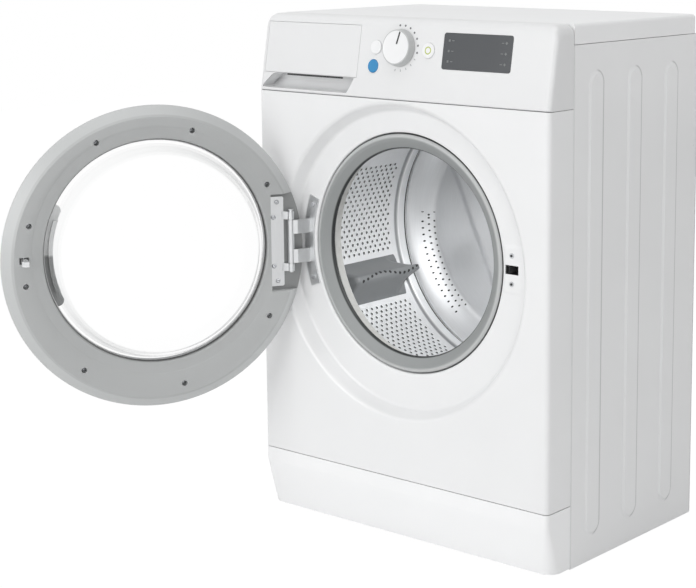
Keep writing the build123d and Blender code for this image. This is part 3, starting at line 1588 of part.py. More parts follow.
motor_ear = 40.0
motor_end_depth = motor_front_depth + motor_length
with BuildPart() as motor:
    with BuildSketch(front_plane(motor_front_depth)):
        with Locations((motor_x, motor_z)):
            Circle(motor_radius)
    extrude(amount=-motor_length)
    with BuildSketch(front_plane(motor_front_depth + 20)):
        with Locations((motor_x, motor_z + motor_radius + motor_ear / 4)):
            Rectangle(motor_ear, motor_ear * 1.5)
    extrude(amount=-(motor_length - 40))
    with BuildSketch(front_plane(motor_front_depth)):
        with Locations((0, porthole_z)):
            Circle(tub_radius + seat_gap)
    extrude(amount=-motor_length, mode=Mode.SUBTRACT)
    with BuildSketch(front_plane(motor_front_depth + motor_wall)):
        with Locations((motor_x, motor_z)):
            Circle(motor_radius - motor_wall)
    extrude(amount=-(motor_length - 2 * motor_wall), mode=Mode.SUBTRACT)
    with BuildSketch(front_plane(motor_front_depth)):
        with Locations((motor_x, motor_z)):
            Circle(motor_shaft_radius + running_clearance)
    extrude(amount=-motor_length, mode=Mode.SUBTRACT)
keep(motor, "motor")

rotor_radius = motor_radius - 2 * motor_wall
rotor_gap = 12.0
with BuildPart() as motor_rotor:
    with BuildSketch(front_plane(motor_front_depth + 1)):
        with Locations((motor_x, motor_z)):
            Circle(motor_shaft_radius)
    extrude(amount=-(pulley_depth + pulley_width - motor_front_depth - 1))
    with BuildSketch(front_plane(motor_front_depth + motor_wall + rotor_gap)):
        with Locations((motor_x, motor_z)):
            Circle(rotor_radius)
    extrude(amount=-(motor_length - 2 * (motor_wall + rotor_gap)))
    with BuildSketch(front_plane(pulley_depth)):
        with Locations((motor_x, motor_z)):
            Circle(motor_pulley_radius)
    extrude(amount=-pulley_width)
keep(motor_rotor, "motor_rotor")

# Heater: a hairpin under the drum on a plug through the tub's back
heater_radius = 4.0
heater_front_depth = 140.0
with BuildPart() as heater:
    with BuildSketch(front_plane(heater_front_depth)):
        with Locations((-heater_x, heater_z), (heater_x, heater_z)):
            Circle(heater_radius)
    extrude(amount=-(tub_back_depth - heater_front_depth))
    with BuildSketch(Plane.YZ.offset(-heater_x - heater_radius)):
        with Locations((front_y + heater_front_depth, heater_z)):
            Circle(heater_radius)
    extrude(amount=2 * (heater_x + heater_radius))
    with BuildSketch(front_plane(tub_back_depth - 2)):
        with Locations((0, heater_z)):
            Rectangle(heater_plug - 2 * seat_gap, heater_plug_height - 2 * seat_gap)
    extrude(amount=-(5 * tub_wall))
keep(heater, "heater")

# Suspension springs as sleeves on hooked rods, and friction dampers
spring_cap = 3.0
rod_low_z = lug_z - lug_thickness / 2 - seat_gap - spring_cap
rod_high_z = bracket_z + 3 * sheet + seat_gap + spring_cap
with BuildPart() as suspension_springs:
    for side in (-1, 1):
        with BuildSketch(level_plane(spring_low_z)):
            with Locations((side * spring_x, spring_depth)):
                Circle(spring_radius)
        extrude(amount=spring_high_z - spring_low_z)
        with BuildSketch(level_plane(spring_low_z + spring_cap)):
            with Locations((side * spring_x, spring_depth)):
                Circle(spring_radius - spring_wire)
        extrude(amount=spring_high_z - spring_low_z - 2 * spring_cap, mode=Mode.SUBTRACT)
        rods = ((rod_low_z, spring_low_z), (spring_high_z, rod_high_z))
        for rod_start_z, rod_end_z in rods:
            with BuildSketch(level_plane(rod_start_z)):
                with Locations((side * spring_x, spring_depth)):
                    Circle(spring_rod_radius)
            extrude(amount=rod_end_z - rod_start_z)
        for head_z in (rod_low_z, rod_high_z - spring_cap):
            with BuildSketch(level_plane(head_z)):
                with Locations((side * spring_x, spring_depth)):
                    Circle(2 * spring_rod_radius)
            extrude(amount=spring_cap)
keep(suspension_springs, "suspension_springs")

damper_depth = 180.0
damper_bottom_z = tray_floor_z + tray_sheet + seat_gap
damper_bore_z = 60.0
damper_rod_low_z = 90.0
with BuildPart() as shock_cylinders:
    with BuildSketch(level_plane(damper_bottom_z)):
        for side in (-1, 1):
            with Locations((side * damper_x, damper_depth)):
                Circle(damper_radius)
    extrude(amount=damper_top_z - damper_bottom_z)
    with BuildSketch(level_plane(damper_bore_z)):
        for side in (-1, 1):
            with Locations((side * damper_x, damper_depth)):
                Circle(damper_rod_radius + seat_gap)
    extrude(amount=damper_top_z - damper_bore_z, mode=Mode.SUBTRACT)
keep(shock_cylinders, "shock_cylinders")

with BuildPart() as shock_rods:
    with BuildSketch(level_plane(damper_rod_low_z)):
        for side in (-1, 1):
            with Locations((side * damper_x, damper_depth)):
                Circle(damper_rod_radius)
    extrude(amount=porthole_z - tub_radius / 2 - damper_rod_low_z)
    with BuildSketch(front_plane(0)):
        with Locations((0, porthole_z)):
            Circle(tub_radius + seat_gap)
    extrude(amount=-cabinet_depth, mode=Mode.SUBTRACT)
keep(shock_rods, "shock_rods")

# Drain pump with its filter cap behind the plinth, and the two rubber hoses
pump_spigot_top = 128.0
saddle_width = 40.0
saddle_front_depth = 70.0
saddle_length = 60.0
with BuildPart() as drain_pump:
    with BuildSketch(front_plane(pump_front_depth)):
        with Locations((pump_x, pump_z)):
            Circle(pump_radius)
    extrude(amount=-pump_length)
    with BuildSketch(level_plane(pump_z)):
        with Locations((pump_x, sump_depth)):
            Circle(sump_radius)
    extrude(amount=pump_spigot_top - pump_z)
    with BuildSketch(level_plane(damper_bottom_z)):
        with Locations((pump_x, saddle_front_depth + saddle_length / 2)):
            Rectangle(saddle_width, saddle_length)
    extrude(amount=pump_z - damper_bottom_z)
keep(drain_pump, "drain_pump")

with BuildPart() as filter_cap:
    with BuildSketch(front_plane(pump_front_depth - seat_gap)):
        with Locations((pump_x, pump_z)):
            Circle(pump_radius - 4)
    extrude(amount=cap_thickness / 2)
    with BuildSketch(front_plane(pump_front_depth - seat_gap - cap_thickness / 2)):
        with Locations((pump_x, pump_z)):
            Rectangle(1.5 * pump_radius, 8)
    extrude(amount=cap_thickness / 2)
keep(filter_cap, "filter_cap")

hose_overlap = 12.0
hose_sets = (
    ("sump_hose", pump_x, sump_depth, sump_radius, pump_spigot_top - hose_overlap, sump_low_z + hose_overlap),
    (
        "dispenser_hose",
        hose_x,
        hose_depth,
        spigot_radius,
        drop_high_z - hose_overlap,
        housing_bottom_z - spigot_length + hose_overlap,
    ),
)
for hose_name, place_x, place_depth, bore, low_z, high_z in hose_sets:
    with BuildPart() as hose:
        with BuildSketch(level_plane(low_z)):
            with Locations((place_x, place_depth)):
                Circle(bore + seat_gap + hose_wall)
                Circle(bore + seat_gap, mode=Mode.SUBTRACT)
        extrude(amount=high_z - low_z)
    keep(hose, hose_name)
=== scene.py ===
# %% [markdown]
# # A slim front load washing machine, dressed in Blender
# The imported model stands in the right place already, in metres, with +Z up and +Y to the rear. This
# lesson keeps the pieces whose shape is right and gives each a finish. Where pressed sheet, rubber,
# glass or a moulding needs a softer form than its solid has, a new skin is worked out with numpy and
# takes the solid's place.

import json

import bmesh
import bpy
import numpy as np
from mathutils import Matrix, Vector


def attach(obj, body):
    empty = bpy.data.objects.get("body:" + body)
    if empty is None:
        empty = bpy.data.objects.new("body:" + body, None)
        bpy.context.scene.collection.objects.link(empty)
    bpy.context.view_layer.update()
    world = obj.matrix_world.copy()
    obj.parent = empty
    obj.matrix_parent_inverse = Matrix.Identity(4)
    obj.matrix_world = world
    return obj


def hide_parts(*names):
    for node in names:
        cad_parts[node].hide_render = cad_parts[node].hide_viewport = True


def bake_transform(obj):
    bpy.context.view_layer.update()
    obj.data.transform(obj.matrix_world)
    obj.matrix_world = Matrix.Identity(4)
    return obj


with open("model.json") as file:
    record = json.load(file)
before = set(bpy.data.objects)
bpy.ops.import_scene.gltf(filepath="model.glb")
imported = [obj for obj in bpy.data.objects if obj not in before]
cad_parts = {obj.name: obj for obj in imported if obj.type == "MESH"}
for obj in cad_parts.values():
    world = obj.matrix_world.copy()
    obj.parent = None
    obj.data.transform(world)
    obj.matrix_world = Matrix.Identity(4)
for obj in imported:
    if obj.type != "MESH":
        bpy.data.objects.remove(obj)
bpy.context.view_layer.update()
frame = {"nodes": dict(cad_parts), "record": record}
nodes = frame["nodes"]

# %% [markdown]
# ## Sizes
# All sizes are in millimetres, as on the drawing, and turn into metres only when a mesh is stored.
# Depths run back from the plane of the front. A point of the door is written where it lies with the
# door shut; swung() carries it round the hinge pin to the open door of the picture, so that door and
# cabinet can share one set of numbers.

# %% Sizes and places
MM = 0.001
FRONT_Y = -206.0
HALF_WIDTH = 297.5
CORNER = 8.0
DISH_Z = 465.5
PORT_Z = 477.0
PORT_RADIUS = 194.0
DISH_DEPTH = 24.0
WRAP_DEPTH = 60.2
SIDE_FRONT = 61.0
LOCK_X = 212.0
HINGE_X = -224.0
HINGE_DEPTH = -6.0
DOOR_ANGLE = np.radians(119.0)
PANEL_LEAN = np.radians(10.0)
PANEL_BOTTOM = 724.5


def points_at(x, y, z):
    """One array of points from three coordinates, spread to a common shape."""
    return np.stack(np.broadcast_arrays(x, y, z), axis=-1)


def placed(x, depth, z):
    """A point of the cabinet: depth is added to the front's plane."""
    return points_at(x, FRONT_Y + depth, z)


def swung(x, depth, z):
    """A point of the shut door, turned about the hinge pin by the opening angle."""
    c, s = np.cos(DOOR_ANGLE), np.sin(DOOR_ANGLE)
    across, back = x - HINGE_X, depth - HINGE_DEPTH
    y = FRONT_Y + HINGE_DEPTH - across * s + back * c
    return points_at(HINGE_X + across * c + back * s, y, z)


def on_panel(x, out, up):
    """A point of the leaning control panel: up along its face, out square to it."""
    c, s = np.cos(PANEL_LEAN), np.sin(PANEL_LEAN)
    return points_at(x, FRONT_Y + up * s - out * c, PANEL_BOTTOM + up * c + out * s)


def standing(x, z, y):
    """A point beside an upright axis, with the height given second, as a profile gives it."""
    return points_at(x, y, z)


def circle_turns(steps):
    """Evenly spaced angles of a full circle."""
    return np.linspace(0, 2 * np.pi, steps, endpoint=False)


def ease(value, low, high):
    """Smooth step: 0 below low, 1 above high, with level ends."""
    t = np.clip((value - low) / (high - low), 0.0, 1.0)
    return t * t * (3 - 2 * t)


print("shut door's centre stands at", swung(0.0, 0.0, PORT_Z).round(1))

# %% [markdown]
# ## Grid tools
# Every new skin is a grid: rows of points along a profile and columns round an axis or along a run. The
# whole grid is one array, its quads are one integer array, and equal points along seams and at poles
# are merged afterwards, so that no shading line is left where two sheets meet.


# %% Grids, profiles and carving
def grid_quads(rows, columns, round_columns=False, round_rows=False):
    """Corner numbers of a grid's quads; a round direction joins its last line to its first."""
    r = np.arange(rows if round_rows else rows - 1)[:, None]
    c = np.arange(columns if round_columns else columns - 1)[None, :]
    low, right = (r + 1) % rows, (c + 1) % columns
    corners = (r * columns + c, r * columns + right, low * columns + right, low * columns + c)
    return np.stack(np.broadcast_arrays(*corners), axis=-1).reshape(-1, 4)


def unit(vector):
    """The vector divided by its length."""
    return vector / np.linalg.norm(vector)


def rounded_path(corners, radii, steps=7):
    """A line with each corner replaced by an arc: two spokes of its circle, turned into each other."""
    corners = np.asarray(corners, float)
    path = [corners[:1]]
    for before, corner, after, radius in zip(corners, corners[1:], corners[2:], radii):
        a, b = unit(before - corner), unit(after - corner)
        half = np.arccos(np.clip(a @ b, -1, 1)) / 2
        centre = corner + unit(a + b) * radius / np.sin(half)
        first = corner + a * radius / np.tan(half) - centre
        last = corner + b * radius / np.tan(half) - centre
        share = np.linspace(0, 1, steps)[:, None]
        sweep = np.pi - 2 * half
        spokes = np.sin((1 - share) * sweep) * first + np.sin(share * sweep) * last
        path.append(centre + spokes / np.sin(sweep))
    path.append(corners[-1:])
    return np.concatenate(path)


def walled(path, wall):
    """Closed section of a wall: the path, then the path moved square to itself, back again."""
    along = np.gradient(path, axis=0)
    along /= np.linalg.norm(along, axis=1)[:, None]
    square = np.stack([-along[:, 1], along[:, 0]], axis=1)
    return np.concatenate([path, (path + wall * square)[::-1]])


def turned(profile, x=0.0, z=PORT_Z, steps=240, place=placed, loop=False):
    """Pairs of radius and depth carried round an axis at (x, z); place says how the axis lies."""
    radius, depth = np.asarray(profile, float).T[:, :, None]
    turn = circle_turns(steps)
    points = place(x + radius * np.cos(turn), depth, z + radius * np.sin(turn))
    return points, grid_quads(len(profile), steps, round_columns=True, round_rows=loop)


def prism(outline, low, high, place=placed):
    """A closed block: an outline of (x, z) pairs at two depths, with a point at the middle of each end."""
    outline = np.asarray(outline, float)
    middle = np.broadcast_to(outline.mean(axis=0), outline.shape)
    rings = np.stack([middle, outline, outline, middle])
    depth = np.array([low, low, high, high])[:, None]
    return place(rings[..., 0], depth, rings[..., 1]), grid_quads(4, len(outline), round_columns=True)


def rectangle(x, z, width, height):
    """The four corners of an upright rectangle about its middle."""
    return np.array([x, z]) + np.array([[-1, -1], [1, -1], [1, 1], [-1, 1]]) * np.array([width, height]) / 2


def disc(x, z, radius, steps=24):
    """Points of a circle about its middle."""
    turn = circle_turns(steps)
    return np.array([x, z]) + radius * np.stack([np.cos(turn), np.sin(turn)], axis=1)


def mesh_of(name, sheets, facing=None):
    """One mesh from sheets of points and quads: equal points merge, faces look outwards or along facing."""
    counts = np.cumsum([0] + [points.reshape(-1, 3).shape[0] for points, quads in sheets])
    points = np.concatenate([points.reshape(-1, 3) for points, quads in sheets]) * MM
    quads = np.concatenate([quads + start for (points_, quads), start in zip(sheets, counts)])
    mesh = bpy.data.meshes.new(name)
    mesh.from_pydata(points, [], quads)
    shape = bmesh.new()
    shape.from_mesh(mesh)
    bmesh.ops.remove_doubles(shape, verts=shape.verts, dist=2e-6)
    bmesh.ops.dissolve_degenerate(shape, edges=shape.edges, dist=1e-7)
    bmesh.ops.recalc_face_normals(shape, faces=shape.faces)
    shape.to_mesh(mesh)
    shape.free()
    if facing is not None:
        centres = np.zeros(len(mesh.polygons) * 3)
        normals = np.zeros(len(mesh.polygons) * 3)
        mesh.polygons.foreach_get("center", centres)
        mesh.polygons.foreach_get("normal", normals)
        if np.sum(normals.reshape(-1, 3) * facing(centres.reshape(-1, 3))) < 0:
            mesh.flip_normals()
    return mesh


def to_front(centres):
    """The direction in which a front faces."""
    return np.array([0.0, -1.0, 0.0])


def stored(obj):
    """The piece with its modifiers worked into its mesh."""
    graph = bpy.context.evaluated_depsgraph_get()
    result = bpy.data.meshes.new_from_object(obj.evaluated_get(graph))
    obj.modifiers.clear()
    obj.data = result
    return obj


def carved(obj, sheets):
    """The piece less a cutter of closed sheets, by an exact Boolean that is stored as its mesh."""
    cutter = bpy.data.objects.new("cutter", mesh_of("cutter", sheets))
    bpy.context.scene.collection.objects.link(cutter)
    step = obj.modifiers.new("carve", "BOOLEAN")
    step.object, step.operation, step.solver = cutter, "DIFFERENCE", "EXACT"
    stored(obj)
    bpy.data.objects.remove(cutter)
    return obj


def smoothed(obj, crease):
    """Smooth shading with hard lines where faces meet at more than the crease angle."""
    obj.data.shade_smooth()
    obj.data.set_sharp_from_angle(angle=np.radians(crease))
    return obj


def piece(
    name, sheets, body, finish, stands_for=(), facing=None, wall=0.0, cut=(), crease=38.0, rim=None
):
    """A finished piece: mesh, wall behind an open sheet, cuts, finish, and the body it rides on."""
    obj = bpy.data.objects.new(name, mesh_of(name, sheets, facing))
    bpy.context.scene.collection.objects.link(obj)
    obj.data.materials.append(finish)
    if wall:
        step = obj.modifiers.new("wall", "SOLIDIFY")
        step.thickness, step.offset, step.use_even_offset = wall * MM, -1.0, True
        if rim:
            obj.data.materials.append(rim)
            step.material_offset_rim = 1
        stored(obj)
    if len(cut):
        carved(obj, cut)
    smoothed(obj, crease)
    if body:
        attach(obj, body)
    if stands_for:
        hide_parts(*stands_for)
    print(name, "vertices", len(obj.data.vertices))
    return obj


# %% [markdown]
# ## Writing finishes as sums
# A finish is a Principled shader whose colour, roughness and bump come from a few textures. Wiring
# nodes by hand hides the sums, so a small class wraps a socket: its operators add Math nodes, and
# node() adds any other kind.


# %% Shader sums
class Tap:
    """A socket that takes part in sums: each operator adds one Math node to the socket's tree."""

    def __init__(self, socket):
        self.socket = socket

    def node(self, kind, settings=None, sockets=None, out=0):
        """Any other node: its type, its settings, then the values or links of its sockets."""
        tree = self.socket.id_data
        made = tree.nodes.new(kind)
        for name, value in (settings or {}).items():
            setattr(made, name, value)
        for key, value in (sockets or {}).items():
            if isinstance(value, Tap):
                tree.links.new(value.socket, made.inputs[key])
            else:
                made.inputs[key].default_value = value
        return Tap(made.outputs[out])

    def math(self, operation, first, second=0.0):
        return self.node("ShaderNodeMath", {"operation": operation}, {0: first, 1: second})

    def __add__(self, other):
        return self.math("ADD", self, other)

    __radd__ = __add__

    def __sub__(self, other):
        return self.math("SUBTRACT", self, other)

    def __rsub__(self, other):
        return self.math("SUBTRACT", other, self)

    def __mul__(self, other):
        return self.math("MULTIPLY", self, other)

    __rmul__ = __mul__

    def __truediv__(self, other):
        return self.math("DIVIDE", self, other)

    def __pow__(self, other):
        return self.math("POWER", self, other)

    def __lt__(self, other):
        return self.math("LESS_THAN", self, other)

    def __gt__(self, other):
        return self.math("GREATER_THAN", self, other)

    def __abs__(self):
        return self.math("ABSOLUTE", self)

    def clip(self):
        """This value held between 0 and 1."""
        return self.node("ShaderNodeClamp", None, {0: self})

    def wave(self, period):
        """Distance from the nearest whole multiple of a period."""
        return abs(self - period * self.math("ROUND", self / period))

    def xyz(self):
        parts = self.node("ShaderNodeSeparateXYZ", None, {0: self})
        return [Tap(out) for out in parts.socket.node.outputs]

    def noise(self, scale, detail=2.0, vector=None):
        values = {"Vector": vector or self, "Scale": scale, "Detail": detail}
        return self.node("ShaderNodeTexNoise", None, values)

    def blend(self, low, high):
        """Colour that goes from low to high as this value goes from 0 to 1."""
        low, high = (end if isinstance(end, Tap) else (*end, 1) for end in (low, high))
        mix = {0: self, 6: low, 7: high}
        return self.node("ShaderNodeMix", {"data_type": "RGBA"}, mix, out=2)

    def bump(self, strength, distance):
        values = {"Strength": strength, "Distance": distance, "Height": self}
        return self.node("ShaderNodeBump", None, values)


def new_finish(name, **constants):
    """A material, its Principled shader with these constants, and a tap on Object coordinates."""
    material = bpy.data.materials.new(name)
    material.use_nodes = True
    tree = material.node_tree
    shader = tree.nodes["Principled BSDF"]
    for socket, value in constants.items():
        shader.inputs[socket.replace("_", " ")].default_value = value
    return material, shader, Tap(tree.nodes.new("ShaderNodeTexCoord").outputs["Object"])


def length(first, second):
    """Length of the long side of a right triangle."""
    return (first * first + second * second) ** 0.5


def feed(shader, **taps):
    """Link taps to the shader's sockets by name."""
    for socket, tap in taps.items():
        shader.id_data.links.new(tap.socket, shader.inputs[socket.replace("_", " ")])


# %% [markdown]
# ## Finishes
# Baked enamel is white with a faint orange peel; mouldings are a little duller and finely grained; the
# drum is brushed round its axis; zinc has its spangle. Each is one small function, so a sister piece
# can ask for the same finish in another shade.


# %% Finish makers
def tint(colour, factor):
    """The colour made darker or paler."""
    return [v * factor for v in colour]


def moulded(name, colour, roughness, grain=0.7, depth=0.04, coat=0.0, gloss=0.5):
    """Paint or plastic: a slow drift of shade, a grain of the given size in millimetres in the bump."""
    constants = {"Coat_Weight": coat, "Coat_Roughness": 0.1, "Specular_IOR_Level": gloss}
    material, shader, here = new_finish(name, **constants)
    drift = here.noise(7.0, 3.0)
    feed(shader, Base_Color=drift.blend(tint(colour, 0.975), tint(colour, 1.02)))
    feed(shader, Roughness=roughness - 0.05 + drift * 0.1)
    feed(shader, Normal=here.noise(1000 / grain, 2.0).bump(depth, 0.0002))
    return material


def steel(name, colour, roughness, across=(60, 1400, 60), marks=0.10):
    """Metal with fine lines: noise stretched along one way varies roughness and tone."""
    material, shader, here = new_finish(name, Metallic=1.0)
    stretched = here.node("ShaderNodeMapping", None, {"Vector": here, "Scale": across})
    lines = here.noise(1.0, 4.0, vector=stretched)
    smear = here.noise(14.0, 3.0)
    feed(shader, Base_Color=lines.blend(tint(colour, 0.9), colour))
    feed(shader, Roughness=roughness - marks + lines * marks + smear * marks)
    feed(shader, Normal=lines.bump(0.05, 0.0002))
    return material


def spangled(name, colour, roughness, size=9.0):
    """Zinc coating: cells of slightly different tone."""
    material, shader, here = new_finish(name, Metallic=0.9)
    cells = here.node("ShaderNodeTexVoronoi", None, {"Vector": here, "Scale": 1000 / size}, out=1)
    tone = here.node("ShaderNodeSeparateColor", None, {0: cells})
    feed(shader, Base_Color=tone.blend(tint(colour, 0.86), colour))
    feed(shader, Roughness=roughness + tone * 0.12)
    return material


def cast(name, colour, roughness, grit=4.0, metallic=0.0):
    """Cast weight or housing: pitted and mottled."""
    material, shader, here = new_finish(name, Metallic=metallic)
    mottle = here.noise(1000 / (6 * grit), 5.0)
    feed(shader, Base_Color=mottle.blend(tint(colour, 0.8), tint(colour, 1.1)))
    feed(shader, Roughness=roughness + mottle * 0.1)
    feed(shader, Normal=here.noise(1000 / grit, 4.0).bump(0.35, 0.0008))
    return material


HOLE_REACH = 0.205
ROW_STEP = 0.0078
RIB_DEPTHS = (118.0, 223.0, 328.5)
RIB_HALF = 343.0
RIB_MIDDLE = 415.0


def ribbed_enamel(name, colour):
    """White enamel, with shade drawn in along the front fold and the rear flank of each pressed rib."""
    material, shader, here = new_finish(name, Coat_Weight=0.35, Coat_Roughness=0.1)
    x, y, z = here.xyz()
    beyond = here.math("MAXIMUM", abs(z - RIB_MIDDLE * MM) - RIB_HALF * MM, 0.0)
    shade = (1 - (y - (FRONT_Y + SIDE_FRONT) * MM) / 0.0035).clip() * 0.5
    for rib in RIB_DEPTHS:
        back = y - (FRONT_Y + rib) * MM
        distance = length(back, beyond)
        line = (1 - abs(distance - 0.0206) / 0.0022).clip() * (back / 0.008).clip()
        shade = line + shade
    drift = here.noise(7.0, 3.0)
    plain = drift.blend(tint(colour, 0.975), tint(colour, 1.02))
    feed(shader, Base_Color=(shade * 0.75).blend(plain, tint(colour, 0.45)))
    feed(shader, Roughness=0.25 + drift * 0.1)
    feed(shader, Normal=here.noise(380.0, 2.0).bump(0.05, 0.0002))
    return material


def drum_steel(name, holes=False):
    """Brushed sheet of the drum. On the mantle, painted shade: a near-black line where the back is crimped
    on and a grey band down the rolled bead. On the back, a darker tone, and small holes near its rim
    painted as dark dots of shade.
    """
    material, shader, here = new_finish(name)
    x, y, z = here.xyz()
    up = z - PORT_Z * MM
    turn = here.math("ARCTAN2", up, x)
    reach = length(x, up)
    brushed = here.node("ShaderNodeCombineXYZ", None, {0: turn * 6.0, 1: y * 900.0, 2: reach * 900.0})
    lines = here.noise(1.0, 4.0, vector=brushed)
    smear = here.noise(9.0, 3.0)
    dull, bright = ((0.84, 0.85, 0.86), (0.93, 0.935, 0.94))
    if holes:
        dull, bright = ((0.62, 0.63, 0.645), (0.72, 0.73, 0.74))
    tone = lines.blend(dull, bright)
    rough = 0.26 + lines * 0.06 + smear * 0.10
    if not holes:
        # Painted shade: the near-black line stands for the shade in the crimp joint to the back, the grey
        # band for the shade down the rolled bead.
        seam_shade = abs(y - (FRONT_Y + 296.0) * MM) < 0.0016
        crease = ((0.0028 - abs(y - (FRONT_Y + 269.0) * MM)) / 0.0020).clip()
        tone = crease.blend(tone, (0.30, 0.31, 0.32))
        feed(shader, Base_Color=seam_shade.blend(tone, (0.03, 0.03, 0.03)))
        feed(shader, Roughness=rough, Metallic=0.4 - 0.4 * seam_shade)
        return material
    third = 2 * np.pi / 3
    step = np.radians(3.2)
    group = (turn - np.radians(-155.5)).wave(third)
    row = here.math("ROUND", (reach - HOLE_REACH) / ROW_STEP)
    odd = row.wave(2.0)
    along = (turn + odd * (step / 2)).wave(step) * reach
    off = reach - HOLE_REACH - row * ROW_STEP
    inside = (along * along + off * off) < 0.0016**2
    # Painted shade: the holes are not cut, so dark dots stand for the shade seen through them.
    mask = inside * (group < np.radians(27.0)) * (abs(row) < 1.5)
    feed(shader, Base_Color=mask.blend(tone, (0.03, 0.03, 0.03)))
    feed(shader, Roughness=rough + 0.08 + mask * 0.4, Metallic=0.6 - 0.6 * mask)
    return material


def ring_plastic(name, colour):
    """Grey of the door ring, with painted light: painted shade at the glass and in the hinge pocket, and a
    painted highlight on the chamfer.
    """
    material, shader, here = new_finish(name)
    x, y, z = here.xyz()
    c, s = np.cos(DOOR_ANGLE), np.sin(DOOR_ANGLE)
    across = (x - HINGE_X * MM) * c - (y - (FRONT_Y + HINGE_DEPTH) * MM) * s + HINGE_X * MM
    depth = (x - HINGE_X * MM) * s + (y - (FRONT_Y + HINGE_DEPTH) * MM) * c + HINGE_DEPTH * MM
    up = z - PORT_Z * MM
    reach = length(across, up)
    # Painted shade where the lip turns in to the glass and in the hinge pocket; a painted highlight on the
    # chamfer.
    shade = ((0.1826 - reach) / 0.0016).clip()
    pocket = (across < -0.187) * (abs(up) < 0.0812) * ((-0.008 - depth) / 0.004).clip()
    chamfer = ((-0.0005 - depth) / 0.0015).clip() * (1 - pocket) * (reach > 0.205)
    drift = here.noise(7.0, 3.0)
    face = drift.blend(tint(colour, 0.97), tint(colour, 1.02))
    face = chamfer.blend(face, tint(colour, 1.16))
    face = pocket.blend(face, tint(colour, 0.62))
    feed(shader, Base_Color=shade.blend(face, (0.03, 0.03, 0.03)))
    feed(shader, Roughness=0.36 + drift * 0.1)
    feed(shader, Normal=here.noise(1100.0).bump(0.06, 0.0002))
    return material


def seal_rubber(name):
    """Grey rubber with painted light: a painted highlight on the rounded rim, a painted shade line where
    the bead meets the flange, strongest towards the top and right, and near-black painted shade on the
    lip's edge; plain grey down the lip.
    """
    material, shader, here = new_finish(name)
    x, y, z = here.xyz()
    up = z - PORT_Z * MM
    reach = length(x, up)
    # Painted light on the rubber: a highlight on the rounded rim, a shade line at the flange, and
    # near-black shade on the lip's edge.
    rim = ((reach - 0.1845) / 0.0030).clip()
    gap_shade = ((reach - 0.1912) / 0.0006).clip() * (0.55 + (x + 0.6 * up) / 0.30).clip()
    edge = ((0.1704 - reach) / 0.0014).clip()
    drift = here.noise(12.0, 3.0)
    face = rim.blend(drift.blend((0.27, 0.285, 0.285), (0.30, 0.31, 0.31)), (0.50, 0.51, 0.51))
    face = gap_shade.blend(face, (0.06, 0.062, 0.062))
    feed(shader, Base_Color=edge.blend(face, (0.02, 0.022, 0.022)))
    feed(shader, Roughness=0.42 + drift * 0.12)
    feed(shader, Normal=here.noise(1200.0).bump(0.08, 0.0002))
    return material


def handle_painted_reflection(name):
    """Satin grey of the pull, with a painted reflection: a pale upper half, a thin bright line and a darker
    lower half.
    """
    material, shader, here = new_finish(name)
    z = here.xyz()[2]
    # Painted reflection: pale above the middle, a thin bright line, darker below.
    upper = ((z - 0.476) / 0.004).clip()
    line = abs(z - 0.484) < 0.0022
    drift = here.noise(20.0, 2.0)
    half = upper.blend((0.30, 0.305, 0.305), (0.86, 0.87, 0.87))
    feed(shader, Base_Color=line.blend(half, (0.85, 0.85, 0.85)), Roughness=0.3 + drift * 0.1)
    return material


# %% Finishes
white = (0.83, 0.835, 0.84)
finish = {
    "white_paint": moulded("white_enamel", white, 0.30, grain=2.6, depth=0.05, coat=0.35),
    "white_plastic": moulded("white_moulding", (0.82, 0.825, 0.83), 0.36, grain=0.8, depth=0.05),
    "grey_plastic": moulded("grey_moulding", (0.43, 0.44, 0.44), 0.42, grain=0.9, depth=0.06),
    "dark_plastic": moulded("smoked_window", (0.045, 0.05, 0.056), 0.16, grain=30.0, depth=0.01, coat=0.6),
    "blue_plastic": moulded("blue_key", (0.010, 0.22, 0.48), 0.28, grain=1.0, depth=0.03, coat=0.3),
    "tub_plastic": cast("filled_moulding", (0.58, 0.58, 0.56), 0.5, grit=1.5),
    "rubber": moulded("hose_rubber", (0.06, 0.06, 0.062), 0.55, grain=0.8, depth=0.08),
    "stainless": steel("bright_steel", (0.74, 0.75, 0.76), 0.28),
    "zinc": spangled("zinc_sheet", (0.62, 0.63, 0.65), 0.34),
    "chrome": steel("bright_plate", (0.90, 0.91, 0.92), 0.26, marks=0.08),
    "cast_alloy": cast("die_cast", (0.6, 0.61, 0.62), 0.4, grit=1.0, metallic=0.85),
    "concrete": cast("poured_weight", (0.42, 0.41, 0.39), 0.8),
    "iron": cast("laminations", (0.22, 0.22, 0.23), 0.5, grit=0.8, metallic=0.8),
}
ring_grey = ring_plastic("ring_grey", (0.45, 0.46, 0.46))
# Near-black: painted shade on hole walls, in screw recesses and the finger slit; the plain black of the
# pointer and the lock.
painted_shade_and_black_parts = moulded("painted_shade_and_black_parts", (0.015, 0.016, 0.017), 0.5, grain=2.0)
print("finishes", len(finish))

# %% [markdown]
# Clear pressed glass bends light in its thick wall, but a thin bowl on a pale ground mostly shows what
# is behind it, with grey where the wall is seen edge on. The alpha follows the angle to the surface,
# which is how glass looks, and keeps the bowl clear in a few samples.

# %% Glass
clear_glass, glass_shader, glass_here = new_finish("clear_glass", Roughness=0.03, Coat_Weight=0.5)
edge_on = glass_here.node("ShaderNodeLayerWeight", None, {"Blend": 0.5}, out=1)
feed(glass_shader, Base_Color=edge_on.blend((0.80, 0.82, 0.82), (0.42, 0.45, 0.45)))
feed(glass_shader, Alpha=0.015 + 0.6 * edge_on**4.0)
finish["glass"] = clear_glass

# %% [markdown]
# ## Front shell
# The front is one pressed sheet: flat, wrapped round both sides, sunk into a round dish for the door,
# with a flanged porthole that sits a little above the dish's centre. One grid does it all. Its columns
# are rays from the dish's axis and its rows run from the porthole's flange over the dish to the edge,
# so the soft lip is just a few rows.


